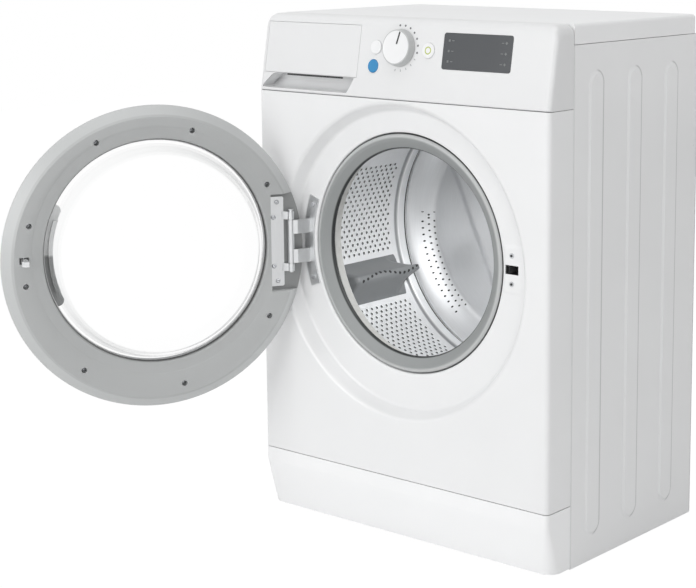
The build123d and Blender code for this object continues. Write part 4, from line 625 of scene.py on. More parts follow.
# %% Front shell
def reach_to(turn, radius, rise=PORT_Z - DISH_Z):
    """Length of a ray from the dish's axis to a circle whose centre lies rise above that axis."""
    return rise * np.sin(turn) + np.sqrt(radius**2 - (rise * np.cos(turn)) ** 2)


def front_sector(first, last, steps, side_x=None, edge_z=None):
    """The rays between two angles, from the porthole's flange over dish and flat front to one edge."""
    turn = np.linspace(first, last, steps)
    c, s = np.cos(turn), np.sin(turn)
    port = reach_to(turn, PORT_RADIUS)
    rows = [(port, 36.0), (port, 27.5), (port + 0.3, 25.6), (port + 1.2, 24.5), (port + 2.8, DISH_DEPTH)]
    foot = [(228.0, DISH_DEPTH), (241.0, DISH_DEPTH), (252.0, 0.0), (262.0, 0.0)]
    foot = rounded_path(foot, (6.0, 9.0), 9)
    for share in np.linspace(0.12, 0.9, 9):
        rows.append((port + 2.8 + share * (228.0 - port - 2.8), DISH_DEPTH))
    rows += [(np.full_like(turn, r), d) for r, d in foot[:-1]]
    x = np.stack([r * c for r, d in rows])
    z = np.stack([DISH_Z + r * s for r, d in rows])
    depth = np.stack([np.full_like(turn, d) for r, d in rows])
    pad = ease(19.0 - np.abs(x - 214.0), 0.0, 4.0) * ease(38.0 - np.abs(z - PORT_Z), 0.0, 4.0)
    depth = depth - 1.3 * pad * (depth > DISH_DEPTH - 0.1)
    run = (abs(side_x) / np.abs(c)) if side_x else (edge_z - DISH_Z) / s
    edge = np.stack([run * c, DISH_Z + run * s])
    last_ring = np.stack([x[-1], z[-1]])
    flat = [last_ring + share * (edge - last_ring) for share in (0.25, 0.5, 0.75, 1.0)]
    flat_depth = [0.0] * 4
    if side_x:
        bend = np.linspace(0, np.pi / 2, 8)[1:]
        flat += [edge + np.array([[np.sign(side_x) * CORNER * np.sin(b)], [0.0]]) for b in bend]
        flat_depth += list(CORNER * (1 - np.cos(bend))) + [WRAP_DEPTH]
        flat.append(flat[-1])
    else:
        flat.append(edge)
        flat_depth.append(18.0)
    x = np.concatenate([x, [f[0] for f in flat]])
    z = np.concatenate([z, [f[1] for f in flat]])
    depth = np.concatenate([depth, np.broadcast_to(np.array(flat_depth)[:, None], (len(flat), steps))])
    return placed(x, depth, z), grid_quads(len(x), steps)


flat_x, shell_low, shell_high = HALF_WIDTH - CORNER, 113.0, 723.7
low_turn = np.arctan2(shell_low - DISH_Z, flat_x)
high_turn = np.arctan2(shell_high - DISH_Z, flat_x)
front_sheets = [
    front_sector(low_turn, high_turn, 150, side_x=flat_x),
    front_sector(high_turn, np.pi - high_turn, 160, edge_z=shell_high),
    front_sector(np.pi - high_turn, np.pi - low_turn, 150, side_x=-flat_x),
    front_sector(np.pi - low_turn, 2 * np.pi + low_turn, 130, edge_z=shell_low),
]
lock_slot = prism(rectangle(LOCK_X, PORT_Z, 25.0, 14.0), 15.0, 30.0)
piece(
    "front_shell", front_sheets, "cabinet", finish["white_paint"], ["front_panel"],
    facing=to_front, wall=1.0, cut=[lock_slot],
)
# The two screw recesses are near-black discs: painted shade.
lock_recesses = [prism(disc(LOCK_X, PORT_Z + side * 22.0, 2.0), 20.9, 21.6) for side in (-1, 1)]
piece("lock_screw_recesses", lock_recesses, "cabinet", painted_shade_and_black_parts)

# %% [markdown]
# ## Side sheets
# Each side is a folded sheet with three long pressed ribs that stiffen it. A height over a grid of
# depth and height gives the ribs their soft shoulders: the distance to the rib's middle line is eased
# into the raised height.


# %% Side sheets
def side_sheet(sign):
    """Plan of a folded sheet carried up: the face is lifted where the distance to a rib's line is small."""
    front, back, low, high = SIDE_FRONT, 410.7, 10.0, 818.7
    fold = rounded_path([(12.0, front), (0.0, front), (0.0, back), (12.0, back)], (2.0, 2.0), 5)
    face = np.linspace(front + 3.0, back - 3.0, 190)
    plan = np.concatenate([fold[:6], np.stack([np.zeros_like(face), face], axis=1), fold[6:]])
    spans = [np.linspace(40.0, 90.0, 22), np.linspace(100.0, 730.0, 40), np.linspace(740.0, 790.0, 22)]
    z = np.concatenate([[low], *spans, [high]])
    inset, depth = plan[:, 0][:, None], plan[:, 1][:, None]
    lift = np.zeros((len(plan), len(z)))
    for rib in RIB_DEPTHS:
        overrun = np.maximum(np.abs(z - RIB_MIDDLE) - RIB_HALF, 0.0)
        distance = np.hypot(depth - rib, overrun)
        lift += 3.0 * ease(19.0 - distance, 0.0, 3.6)
    x = sign * (HALF_WIDTH - inset + lift * (inset < 0.01))
    sheet = placed(x, np.broadcast_to(depth, x.shape), np.broadcast_to(z, x.shape))
    lip_x = sign * np.array([[HALF_WIDTH - 0.5], [HALF_WIDTH - 11.0]])
    lip = placed(lip_x, np.linspace(front + 2, back - 2, 8), high - 0.5)
    return [(sheet, grid_quads(len(plan), len(z))), (lip, grid_quads(2, 8))]


side_enamel = ribbed_enamel("side_enamel", white)
for side_name, sign in (("left", -1.0), ("right", 1.0)):
    piece(
        f"side_sheet_{side_name}", side_sheet(sign), "cabinet", side_enamel,
        [f"side_panel_{side_name}"], facing=lambda centres, sign=sign: np.array([sign, 0.0, 0.0]), wall=1.0,
    )

# %% [markdown]
# ## Plinth
# The skirt under the front has upright sides. Its face leans back below a short upright band, and its
# two corners grow rounder on the way down, so each row of the grid is the same rounded plan with other
# numbers.

# %% Plinth
PLINTH_LEAN = 14.0
plinth_z = np.concatenate([np.linspace(12.0, 86.0, 9), [90.0, 100.0, 111.8]])
plinth_rows = []
for z in plinth_z:
    fall = np.clip((88.0 - z) / 76.0, 0.0, 1.0)
    lean = PLINTH_LEAN * fall
    plan = [(-HALF_WIDTH, WRAP_DEPTH), (-HALF_WIDTH, lean), (HALF_WIDTH, lean), (HALF_WIDTH, WRAP_DEPTH)]
    bend = CORNER + lean
    plan = rounded_path(plan, (bend, bend), 9)
    plinth_rows.append(placed(plan[:, 0], plan[:, 1], np.full(len(plan), z)))
plinth_sheet = np.stack(plinth_rows), grid_quads(len(plinth_rows), len(plan))
plinth_white = moulded("plinth_white", (0.90, 0.905, 0.91), 0.36, grain=0.8, depth=0.05)
piece(
    "plinth_shell", [plinth_sheet], "cabinet", plinth_white, ["plinth"],
    facing=to_front, wall=2.0,
)

# %% [markdown]
# ## Porthole seal
# The seal is one moulded rubber ring: a bead that grips the porthole's flange, a lip that the glass
# presses on, and a fold back to the tub. Its wall is a smooth section carried round the axis. The tub
# floats on its springs; the sleeve is made where it stands and rides on no body.

# %% Porthole seal
seal_line = rounded_path(
    [
        (197.5, 31.0), (197.5, 39.5), (189.6, 39.5), (189.6, 25.0), (182.0, 27.5),
        (167.5, 38.0), (180.0, 44.5), (187.0, 51.0), (187.0, 64.0),
    ],
    (2.0, 2.0, 2.6, 6.0, 3.0, 5.0, 4.0), 6,
)
seal_section = walled(seal_line, 2.6)
porthole_seal = piece(
    "porthole_seal", [turned(seal_section, loop=True, steps=200)], None,
    seal_rubber("seal_rubber"), ["door_seal"],
)
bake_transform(porthole_seal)

# %% [markdown]
# ## Springs and hoses
# The tub hangs in the cabinet on two coil springs, and two bellows hoses join it to the dispenser and
# the pump. One end of each belongs to the cabinet and the other to the tub; each piece is made where it
# stands and rides on no body.


# %% Springs and hoses
def coil(x, y, low, high, radius, wire, turns):
    """A tube round a helix: the circle of the wire's section is carried along a rising circle."""
    along = np.linspace(0, 2 * np.pi * turns, 18 * turns + 1)[:, None]
    ring = circle_turns(8)[None, :]
    reach = radius - wire + wire * np.cos(ring)
    z = low + wire + (high - low - 2 * wire) * along / along[-1] + wire * np.sin(ring)
    points = points_at(x + reach * np.cos(along), y + reach * np.sin(along), z)
    return points, grid_quads(len(along), 8, round_columns=True)


def bellows(low, high, radius, cuff, folds):
    """Outline of a hose: plain cuffs at both ends, and between them a cosine of folds."""
    z = np.linspace(low + cuff, high - cuff, 8 * folds + 1)
    wave = radius - 0.7 * (1 - np.cos(2 * np.pi * folds * (z - z[0]) / (z[-1] - z[0])))
    return [(radius, low), *zip(wave, z), (radius, high)]


spring_y = 80.0
spring_sheets = []
for x in (-272.0, 272.0):
    for end, step, rod in ((593.7, 1, 46.3), (790.3, -1, 30.3)):
        levels = [(0, 0), (5, 0), (5, 3), (2.5, 3), (2.5, rod), (11, rod), (11, rod + 3), (0, rod + 3)]
        hook = [(r, end + step * rise) for r, rise in levels]
        spring_sheets.append(turned(hook, x, spring_y, 32, standing))
    spring_sheets.append(coil(x, spring_y, 643.0, 757.0, 11.0, 1.5, 22))
springs = piece("coil_springs", spring_sheets, None, finish["zinc"], ["suspension_springs"])
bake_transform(springs)
hoses = {
    "dispenser": ((-146.5, -73.0), bellows(712.0, 749.0, 16.0, 12.0, 2), 0.737, 0.724),
    "sump": ((150.0, -96.0), bellows(116.0, 237.0, 20.8, 12.0, 14), 0.128, 0.225),
}
for hose_name, ((x, y), outline, cabinet_z, tub_z) in hoses.items():
    hose = piece(
        f"{hose_name}_bellows", [turned(outline, x, y, 48, standing)], None,
        finish["rubber"], [f"{hose_name}_hose"],
        facing=lambda centres, x=x, y=y: (centres - np.array([x, y, 0.0]) * MM) * [1, 1, 0], wall=2.5,
    )
    x * MM
    y * MM
    x * MM
    y * MM
    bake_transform(hose)

# %% [markdown]
# ## Drum
# The mantle is sheet steel rolled to a tube. Six panels of staggered holes are punched in it, two
# between each pair of lifters, and a bead is rolled in before the back. A punched cell is a square with
# a round hole: sixteen points on its edge and sixteen on the hole. Rows are shifted by half a cell,
# which is two of those edge points, so neighbouring cells share every point and merge into one sheet.

# %% Drum mantle
DRUM_INNER = 235.0
LIFTER_TURN = 204.0
hole_rows, hole_columns = 19, 12
cell_turn, cell_depth = np.radians(40.0 / hole_rows), 12.7
zone_front = 98.0
HOLE_RADIUS = 2.4
zone_back = zone_front + (hole_columns + 0.5) * cell_depth


def on_drum(turn, depth):
    """A point of the drum's inner wall."""
    return placed(DRUM_INNER * np.cos(turn), depth, PORT_Z + DRUM_INNER * np.sin(turn))


def punched_panel(middle):
    """Cells of a staggered panel about an angle: edge points and hole points of every cell in one array."""
    quarter = np.arange(4) / 4
    edge = np.concatenate([
        np.stack([quarter, np.zeros(4)], 1), np.stack([np.ones(4), quarter], 1),
        np.stack([1 - quarter, np.ones(4)], 1), np.stack([np.zeros(4), 1 - quarter], 1),
    ])
    spoke = np.arctan2(edge[:, 1] - 0.5, edge[:, 0] - 0.5)
    width = DRUM_INNER * cell_turn
    hole = 0.5 + HOLE_RADIUS * np.stack([np.cos(spoke) / cell_depth, np.sin(spoke) / width], 1)
    cell = np.concatenate([edge, hole])
    row, column = np.meshgrid(np.arange(hole_rows), np.arange(hole_columns), indexing="ij")
    start = zone_front + (column + 0.5 * (row % 2)) * cell_depth
    depth = start.reshape(-1, 1) + cell[:, 0] * cell_depth
    turn = middle + (row.reshape(-1, 1) - hole_rows / 2 + cell[:, 1]) * cell_turn
    ring = np.arange(16)
    quads = np.stack([ring, (ring + 1) % 16, 16 + (ring + 1) % 16, 16 + ring], axis=1)
    quads = (quads[None] + 32 * np.arange(row.size)[:, None, None]).reshape(-1, 4)
    sheets = [(on_drum(turn, depth), quads)]
    for r in range(hole_rows):
        start = zone_front if r % 2 else zone_back - cell_depth / 2
        row_turns = middle + (r - hole_rows / 2 + np.arange(5) / 4) * cell_turn
        d, t = np.meshgrid(start + np.arange(3) / 4 * cell_depth, row_turns)
        sheets.append((on_drum(t, d), grid_quads(5, 3)))
    return sheets


half_panel = hole_rows / 2 * cell_turn
panel_middles = [
    np.radians(LIFTER_TURN + third * 120 + side * 31) for third in range(3) for side in (-1, 1)
]
drum_sheets = [s for middle in panel_middles for s in punched_panel(middle)]
for k, middle in enumerate(panel_middles):
    following = panel_middles[(k + 1) % 6] + (2 * np.pi if k == 5 else 0)
    strip_turns = np.linspace(middle + half_panel, following - half_panel, 7)
    strip_depths = np.linspace(zone_front, zone_back, 4 * hole_columns + 3)
    t, d = np.meshgrid(strip_turns, strip_depths, indexing="ij")
    drum_sheets.append((on_drum(t, d), grid_quads(*t.shape)))
mouth = rounded_path([(192.0, 80.0), (192.0, 74.0), (235.0, 75.0), (235.0, zone_front)], (3.0, 11.0), 8)
beads = rounded_path(
    [(235.0, zone_back), (235.0, 268.0), (229.0, 272.0), (229.0, 287.0), (235.0, 291.0), (235.0, 338.0)],
    (2.5, 2.0, 2.0, 2.0), 6,
)
drum_sheets += [turned(mouth, steps=288), turned(beads, steps=288)]


def to_axis(centres):
    """Directions from points to the drum's axis."""
    return np.stack([-centres[:, 0], 0 * centres[:, 0], PORT_Z * MM - centres[:, 2]], axis=1)


drum_finish = drum_steel("brushed_drum")
# The walls of the punched holes take the near-black finish: painted shade inside each hole.
piece(
    "drum_shell", drum_sheets, "drum", drum_finish, ["drum_mantle"],
    facing=to_axis, wall=1.0, crease=50.0, rim=painted_shade_and_black_parts,
)

# %% [markdown]
# The back is pressed into a wide three-sided boss whose sides face the lifters. Seen along the axis,
# the farthest reach towards any of the three sides is a triangle's distance, and easing it gives the
# slope of the pressing.


# %% Drum back
def back_depth(x, z):
    """Depth of the pressed back: raised in the triangle, again at the hub, sloped forward at the rim."""
    sides = np.radians(LIFTER_TURN + np.array([0.0, 120.0, 240.0]))
    reach = np.max([x * np.cos(a) + z * np.sin(a) for a in sides], axis=0)
    radius = np.hypot(x, z)
    boss = 1 - ease(reach, 88.0, 112.0)
    hub = 1 - ease(radius, 48.0, 74.0)
    rim = ease(radius, 190.0, 240.0)
    return 336.0 - 9.0 * boss - 4.0 * hub - 38.0 * rim


radius = np.concatenate([[0.0], np.linspace(4.0, 234.0, 90)])[:, None]
turn = circle_turns(240)
bx, bz = radius * np.cos(turn), radius * np.sin(turn)
back_sheet = placed(bx, back_depth(bx, bz), PORT_Z + bz), grid_quads(len(radius), 240, round_columns=True)
piece(
    "drum_end", [back_sheet], "drum", drum_steel("brushed_back", holes=True), ["drum_back"],
    facing=to_front, wall=1.0, crease=60.0,
)

# %% [markdown]
# A lifter is a hollow grey paddle: a wide foot on the mantle, soft flanks and a rounded crest, with a
# tail that narrows towards the bead. Its row of small water holes follows an S along the crest. The
# holes read the paddle's own map of millimetres along and across, so all three paddles share one
# finish.

# %% Lifters
lifter_finish, lifter_shader, lifter_here = new_finish("lifter_grey_holes")
flat_map = lifter_here.node("ShaderNodeUVMap", {"uv_map": "paddle"})
u, v, _ = flat_map.xyz()
weave = 0.006 * lifter_here.math("SINE", (u + 0.014) * (2 * np.pi / 0.115))
# The water holes are near-black dots: painted shade where each opening is.
dot = (u.wave(0.0118) ** 2 + (v - weave) ** 2) < 0.0031**2
dot = dot * (u > 0.018) * (u < 0.185)
drift = lifter_here.noise(30.0, 3.0)
lifter_grey = drift.blend((0.205, 0.215, 0.22), (0.235, 0.245, 0.25))
feed(lifter_shader, Base_Color=dot.blend(lifter_grey, (0.01, 0.01, 0.01)))
feed(lifter_shader, Roughness=0.36 + drift * 0.12)
feed(lifter_shader, Normal=lifter_here.noise(900.0).bump(0.05, 0.0002))


def lifter_sheet(middle):
    """A paddle on the drum's wall: half width, bulk and height follow depth, its section is a bell."""
    spans = [np.linspace(88.0, 98.0, 6), np.linspace(102.0, 248.0, 30), np.linspace(250.0, 292.0, 29)]
    depth = np.concatenate(spans)
    along = depth[:, None]
    across = np.linspace(-1, 1, 41)[None, :]
    half = 37.0 * (1 - 0.72 * ease(along, 254.0, 262.0))
    bulk = 37.7 * (1 - 0.60 * ease(along, 226.0, 257.0))
    front_rise = ease(along, 82.0, 100.0)
    height = 46.0 * front_rise * (1 - ease(along, 258.0, 280.0))
    bell = (1 - ease(np.abs(half * across), 3.7, bulk)) * (1 - across**12)
    rise = height * bell + 2.2 * np.sqrt(np.clip(1 - across**8, 0, 1))
    radius = DRUM_INNER - 0.5 - rise
    turn = middle + half * across / DRUM_INNER
    points = placed(radius * np.cos(turn), along, PORT_Z + radius * np.sin(turn))
    chart = np.stack(np.broadcast_arrays((along - 88.0) * MM, half * across * MM), axis=-1)
    return points, grid_quads(len(depth), 41), chart


paddles = [lifter_sheet(np.radians(LIFTER_TURN + 120 * k)) for k in range(3)]
lifters = piece(
    "drum_paddles", [p[:2] for p in paddles], "drum", lifter_finish, ["drum_lifters"],
    facing=to_axis, crease=60.0,
)
charts = np.concatenate([p[2].reshape(-1, 2) for p in paddles])
corner_points = np.zeros(len(lifters.data.loops), dtype=np.int32)
lifters.data.loops.foreach_get("vertex_index", corner_points)
paddle_map = lifters.data.uv_layers.new(name="paddle")
paddle_map.data.foreach_set("uv", charts[corner_points].astype(np.float32).ravel())

# %% [markdown]
# ## Door
# The inner ring is a thick grey moulding: a level face, a broad chamfer towards the rim and a lipped
# hole that sits a little above the ring's centre. The same rays as for the front carry its section
# round, and the hinge pocket, the hook's slot and the screw wells are cut out of the closed ring.

# %% Door ring
screw_turns = np.radians([18.0, 64.0, 106.5, 149.0, 211.0, 260.0, 306.0, 352.0])
ring_screws = np.stack([213.0 * np.cos(screw_turns), DISH_Z + 213.0 * np.sin(screw_turns)], axis=1)
ray = circle_turns(360)
inner_rows = [
    (186.3, -15.7), (186.3, -8.7), (180.0, -8.7), (180.3, -8.0), (182.8, 0.0),
    (183.6, 0.8), (185.0, 1.1), (199.5, 1.2), (201.0, 1.5), (202.5, 2.0),
]
outer_rows = rounded_path([(216.0, 2.0), (228.6, 2.0), (246.3, -14.6), (246.3, -15.7)], (2.5, 0.6), 8)
ring_reach = [reach_to(ray, r) for r, d in inner_rows] + [np.full_like(ray, r) for r, d in outer_rows]
ring_reach = np.stack(ring_reach)
ring_depth = np.concatenate([[d for r, d in inner_rows], outer_rows[:, 1]])[:, None]
ring_points = swung(ring_reach * np.cos(ray), ring_depth, DISH_Z + ring_reach * np.sin(ray))
ring_sheet = ring_points, grid_quads(len(ring_points), 360, round_columns=True, round_rows=True)
ring_cuts = [
    prism(rectangle(-244.0, PORT_Z, 112.0, 162.0), -14.0, 9.0, swung),
    prism(rectangle(LOCK_X, PORT_Z, 15.0, 11.0), -30.0, 9.0, swung),
]
ring_cuts += [prism(disc(x, z, 4.6), -9.0, 9.0, swung) for x, z in ring_screws]
piece(
    "door_ring", [ring_sheet], "door", ring_grey, ["door_inner_ring"],
    cut=ring_cuts, crease=28.0,
)

# %% [markdown]
# Screws sit deep in their wells on the ring and flush on the hinge leaf. A head is a few rings of
# twelve points, a dome with a dished middle, enough for something a few millimetres across.

# %% Door screws
leaf_places = ((-202.05, 66.0), (-195.8, 41.0))
leaf_screws = [(x, PORT_Z + side * rise) for x, rise in leaf_places for side in (-1, 1)]


def screw_head(x, z, seat, radius=4.0):
    """Pan head: rings of shrinking radius that rise from the seat and dip in the middle."""
    dome = [(0.2, 0.0), (1.0, 0.0), (1.0, 0.9), (0.8, 1.7), (0.45, 1.9), (0.3, 1.1), (0.0, 1.0)]
    return turned(np.array(dome) * [radius, 1.0] + [0.0, seat], x, z, 12, swung)


heads = [screw_head(x, z, -9.0) for x, z in ring_screws]
heads += [screw_head(x, z, -11.7) for x, z in leaf_screws]
piece("door_screw_heads", heads, "door", finish["zinc"], ["door_screws"], crease=50.0)

# %% [markdown]
# The glass is a pressed bowl with a thick even wall: a flange behind the ring, a slightly drawn-in
# side, a soft corner and a crowned end.

# %% Door glass
bowl_line = rounded_path(
    [(186.0, -9.0), (175.0, -9.0), (163.0, 38.0), (126.0, 60.0), (45.0, 66.0), (0.0, 66.0)],
    (5.0, 24.0, 24.0, 24.0), 12,
)
bowl = walled(bowl_line, 5.0)
bowl[:, 0] = np.maximum(bowl[:, 0], 0.0)
bowl_sheet = turned(bowl, steps=240, place=swung)
piece("door_bowl", [bowl_sheet], "door", clear_glass, ["door_glass"], crease=50.0)

# %% [markdown]
# ## Control panel
# The panel is a leaning moulding. Its section is a path of four corners; near each end the top drops
# along a wide arc and the face steps back along a narrow one, which rounds the two upper corners more
# than the upright edges. Openings are cut for the drawer, the window, the keys and the finger recess,
# whose left end runs out in a curve.


# %% Control panel
def panel_section(end):
    """Section at a distance from the panel's end: each arc is a radius less its circle's height there."""
    top_arc, face_arc = 18.0, 8.0
    drop = top_arc - np.sqrt(top_arc**2 - max(top_arc - end, 0.0) ** 2)
    push = face_arc - np.sqrt(face_arc**2 - max(face_arc - end, 0.0) ** 2)
    top = 850.0 - drop
    lean = (top - PANEL_BOTTOM) * np.tan(PANEL_LEAN)
    corners = [(push + 12.0, PANEL_BOTTOM), (push, PANEL_BOTTOM), (push + lean, top), (60.0, top)]
    return rounded_path(corners, (2.4, 14.0), 9)


end_steps = np.concatenate([9.0 * (1 - np.cos(np.linspace(0, np.pi / 2, 9))), np.linspace(10.0, 18.0, 6)])
panel_x = [-HALF_WIDTH + end_steps, np.linspace(-270.0, 270.0, 28), HALF_WIDTH - end_steps[::-1]]
panel_x = np.concatenate(panel_x)
sections = np.stack([panel_section(HALF_WIDTH - abs(x)) for x in panel_x], axis=1)
panel_sheets = [(placed(panel_x, sections[..., 0], sections[..., 1]), grid_quads(*sections.shape[:2]))]
for end_x, column in ((-HALF_WIDTH, 0), (HALF_WIDTH, -1)):
    rows = np.linspace(0, 1, 3)[:, None]
    cap_depth = sections[:, column, 0] * (1 - rows) + 60.0 * rows
    panel_sheets.append((placed(end_x, cap_depth, sections[:, column, 1]), grid_quads(3, len(sections))))


def rounded_rectangle(x, z, width, height, radius):
    """Outline of a rectangle with quarter circles at its corners."""
    turn = np.linspace(0, np.pi / 2, 6)
    middle = np.array([x, z])
    outline = []
    for k, (side, level) in enumerate(((1, 1), (-1, 1), (-1, -1), (1, -1))):
        corner = middle + np.array([side * (width / 2 - radius), level * (height / 2 - radius)])
        arc = turn + k * np.pi / 2
        outline.append(corner + radius * np.stack([np.cos(arc), np.sin(arc)], axis=1))
    return np.concatenate(outline)


keys = {"power": (-49.0, 80.7, 11.0), "start": (57.5, 79.7, 12.0), "quick": (-51.5, 50.8, 10.5)}
mouth_line = rounded_path(
    [
        (-180.0, 729.4), (-103.0, 729.4), (-89.0, 754.2), (-268.0, 754.2),
        (-291.5, 731.0), (-284.0, 729.4), (-180.5, 729.4),
    ],
    (3.0, 2.0, 22.0, 1.2, 1.0), 8,
)
panel_cuts = [
    prism(rectangle(-186.5, 72.5, 204.0, 84.0), -30.0, 12.0, on_panel),
    prism(rounded_rectangle(152.0, 80.7, 132.6, 56.6, 4.3), -12.0, 12.0, on_panel),
]
for x, up, radius in keys.values():
    panel_cuts.append(prism(disc(x, up, radius + 0.35, 40), -12.0, 12.0, on_panel))
panel_white = moulded("panel_white", (0.75, 0.755, 0.76), 0.36, grain=0.8, depth=0.05)
panel_shell = piece(
    "panel_shell", panel_sheets, "cabinet", panel_white, ["control_panel"],
    facing=lambda centres: np.array([0.0, -1.0, 0.3]), wall=2.0, cut=panel_cuts, crease=30.0,
)
smoothed(carved(panel_shell, [prism(mouth_line, -10.0, 11.0)]), 30.0)

# %% [markdown]
# The recess behind the opening is the same outline carried back, its floor rising in a quarter circle
# to the rear. A near-black block under the drawer's edge is painted shade in the slit where the fingers
# pull.

# %% Finger recess
pan_depth = np.array([2.0, 9.0, 16.0, 22.0, 27.0, 31.0, 34.0, 35.5])[:, None]
floor_rise = 18.0 - np.sqrt(18.0**2 - np.clip(pan_depth - 18.0, 0.0, 17.9) ** 2)
pan_z = np.maximum(mouth_line[:, 1], 729.4 + floor_rise)
pan_start = (mouth_line[:, 1] - PANEL_BOTTOM) * np.tan(PANEL_LEAN) + 0.6
pan_sheet = placed(mouth_line[:, 0], np.maximum(pan_depth, pan_start), pan_z)
pan_end = prism(rectangle(-190.0, 750.0, 208.0, 16.0), 35.0, 36.0)
recess_white = moulded("recess_white", (0.80, 0.805, 0.81), 0.4, grain=0.8, depth=0.05)
pan_quads = grid_quads(len(pan_depth), len(mouth_line), round_columns=True)
piece(
    "recess_pan", [(pan_sheet, pan_quads), pan_end], "cabinet", recess_white,
    crease=40.0,
)
# Painted shade: a near-black block in the finger slit.
slit = prism(rectangle(-176.0, 752.6, 122.0, 2.8), 5.6, 7.0)
piece("recess_slit", [slit], "cabinet", painted_shade_and_black_parts)

# %% [markdown]
# ## Controls
# The knob is a satin cap with a paler face and a dark pointer; round it run plain dots and ticks. The
# keys are domed caps, the blue one in a thin white ring. All are carried round the panel's own normal,
# because the panel leans.

# %% Knob and keys
KNOB = (0.0, 81.5)
knob_side = [(0.0, 0.4), (30.0, 0.4), (29.4, 2.4), (27.2, 12.2), (25.6, 12.2)]
knob_side = rounded_path(knob_side, (0.5, 1.5, 1.2), 6)
knob_face = rounded_path([(25.8, 12.2), (24.2, 11.8), (0.0, 11.5)], (3.0,), 5)
satin_grey = moulded("knob_satin", (0.50, 0.51, 0.51), 0.32, grain=1.0)
piece(
    "knob_cap", [turned(knob_side, *KNOB, 72, on_panel)], "knob", satin_grey,
    ["program_knob"],
)
piece(
    "knob_face", [turned(knob_face, *KNOB, 72, on_panel)], "knob", finish["white_plastic"],
    facing=to_front, wall=0.6,
)


def panel_bar(x, up, length, width, turn, low, high):
    """A small block on the panel: a rectangle turned about its middle, between two heights."""
    corner = np.array([[-1, -1], [1, -1], [1, 1], [-1, 1]]) * np.array([length, width]) / 2
    c, s = np.cos(turn), np.sin(turn)
    outline = corner @ np.array([[c, s], [-s, c]]) + np.array([x, up])
    return prism(outline, low, high, on_panel)


def round_knob(turn, reach):
    """The place on the panel at an angle and a reach from the knob's axis."""
    return KNOB[0] + reach * np.cos(turn), KNOB[1] + reach * np.sin(turn)


pointer_turn = np.radians(76.0)
pointer = panel_bar(*round_knob(pointer_turn, 15), 20.0, 2.6, pointer_turn, 11.2, 12.1)
piece("knob_pointer", [pointer], "knob", painted_shade_and_black_parts)
TICK_REACH = 35.5
dot_turns = np.radians(np.arange(98, -11, -18))
dots = [prism(disc(*round_knob(a, TICK_REACH), 1.7), 0.0, 0.12, on_panel) for a in dot_turns]
piece("dial_dots", dots, "cabinet", moulded("dot_ink", (0.12, 0.125, 0.13), 0.5))
tick_turns = np.radians(np.arange(-28, -118, -18))
ticks = [panel_bar(*round_knob(a, TICK_REACH), 3.6, 1.6, a, 0.0, 0.12) for a in tick_turns]
piece("dial_ticks", ticks, "cabinet", moulded("tick_ink", (0.42, 0.43, 0.44), 0.5))

for key_name, (x, up, radius) in keys.items():
    cap = [(0.0, -2.6), (radius, -2.6), (radius, 2.1), (radius - 2.4, 2.0), (0.0, 1.5)]
    cap = rounded_path(cap, (0.3, 1.2, 3.0), 6)
    slot = "blue_plastic" if key_name == "quick" else "white_plastic"
    cap_sheet = turned(cap, x, up, 56, on_panel)
    piece(f"{key_name}_cap", [cap_sheet], f"{key_name}_key", finish[slot], [f"{key_name}_button"])
rim = rounded_path([(10.9, 0.0), (10.9, 0.9), (12.4, 0.9), (12.6, 0.0)], (0.4, 0.5), 4)
rim_sheet = turned(np.concatenate([rim, rim[:1]]), *keys["quick"][:2], 56, on_panel)
piece("quick_rim", [rim_sheet], "cabinet", finish["white_plastic"])
start_mark = rounded_path([(4.4, 1.75), (4.4, 1.95), (6.2, 1.95), (6.2, 1.75)], (0.1, 0.1), 3)
lamp_green = moulded("key_lamp", (0.45, 0.52, 0.12), 0.4)
mark_sheet = turned(np.concatenate([start_mark, start_mark[:1]]), *keys["start"][:2], 40, on_panel)
piece("start_mark", [mark_sheet], "start_key", lamp_green)

# %% [markdown]
# ## Display
# Behind the smoked window a few small symbols glow faintly at both sides. They are plain dots and bars,
# made as thin plates just proud of the window.

# %% Display marks
marks = []
for row_up in (97.0, 81.0, 65.0):
    marks.append(panel_bar(97.0, row_up, 3.4, 3.4, 0.0, 0.0, 0.10))
    marks.append(panel_bar(104.0, row_up, 4.6, 1.2, 0.0, 0.0, 0.10))
    marks.append(panel_bar(206.0, row_up, 3.4, 3.4, np.pi / 4, 0.0, 0.10))
    marks.append(panel_bar(199.0, row_up, 4.6, 1.2, 0.0, 0.0, 0.10))
mark_glow = moulded("display_marks", (0.16, 0.17, 0.17), 0.4)
piece("display_marks", marks, "cabinet", mark_glow)

# %% [markdown]
# ## The pieces kept as they are
# Everything else keeps its solid and takes the finish of its slot in the record.

# %% Finishes of the kept pieces
slot_of = {part["node"]: part["material_slot"] for part in frame["record"]["subparts"]}
hinge_satin = steel("hinge_satin", (0.80, 0.81, 0.82), 0.34, marks=0.08)
own_finish = {"door_lock": painted_shade_and_black_parts, "door_handle": handle_painted_reflection("handle_painted_reflection")}
lid_white = moulded("lid_white", (0.90, 0.905, 0.91), 0.55, grain=0.8, depth=0.05, gloss=0.1)
cover_zinc = spangled("cover_zinc", (0.80, 0.81, 0.83), 0.30, size=7.0)
own_finish |= {"drawer_front": panel_white, "top_cover": lid_white, "rear_access_cover": cover_zinc}
own_finish |= {name: hinge_satin for name in ("hinge_cabinet_leaf", "hinge_door_leaf", "hinge_pin")}
kept = 0
for node_name, node in nodes.items():
    if node.hide_render:
        continue
    node.data.materials.clear()
    node.data.materials.append(own_finish.get(node_name, finish[slot_of[node_name]]))
    kept += 1
print("kept nodes", kept)

# %% [markdown]
# ## Stage
# A pale floor, a white surround, three large soft lamps and a small one inside the drum. The surround
# is white only to the camera, to reflections and through glass; what it sheds on the machine stays at a
# plain level, so that white paint doesn't clip.

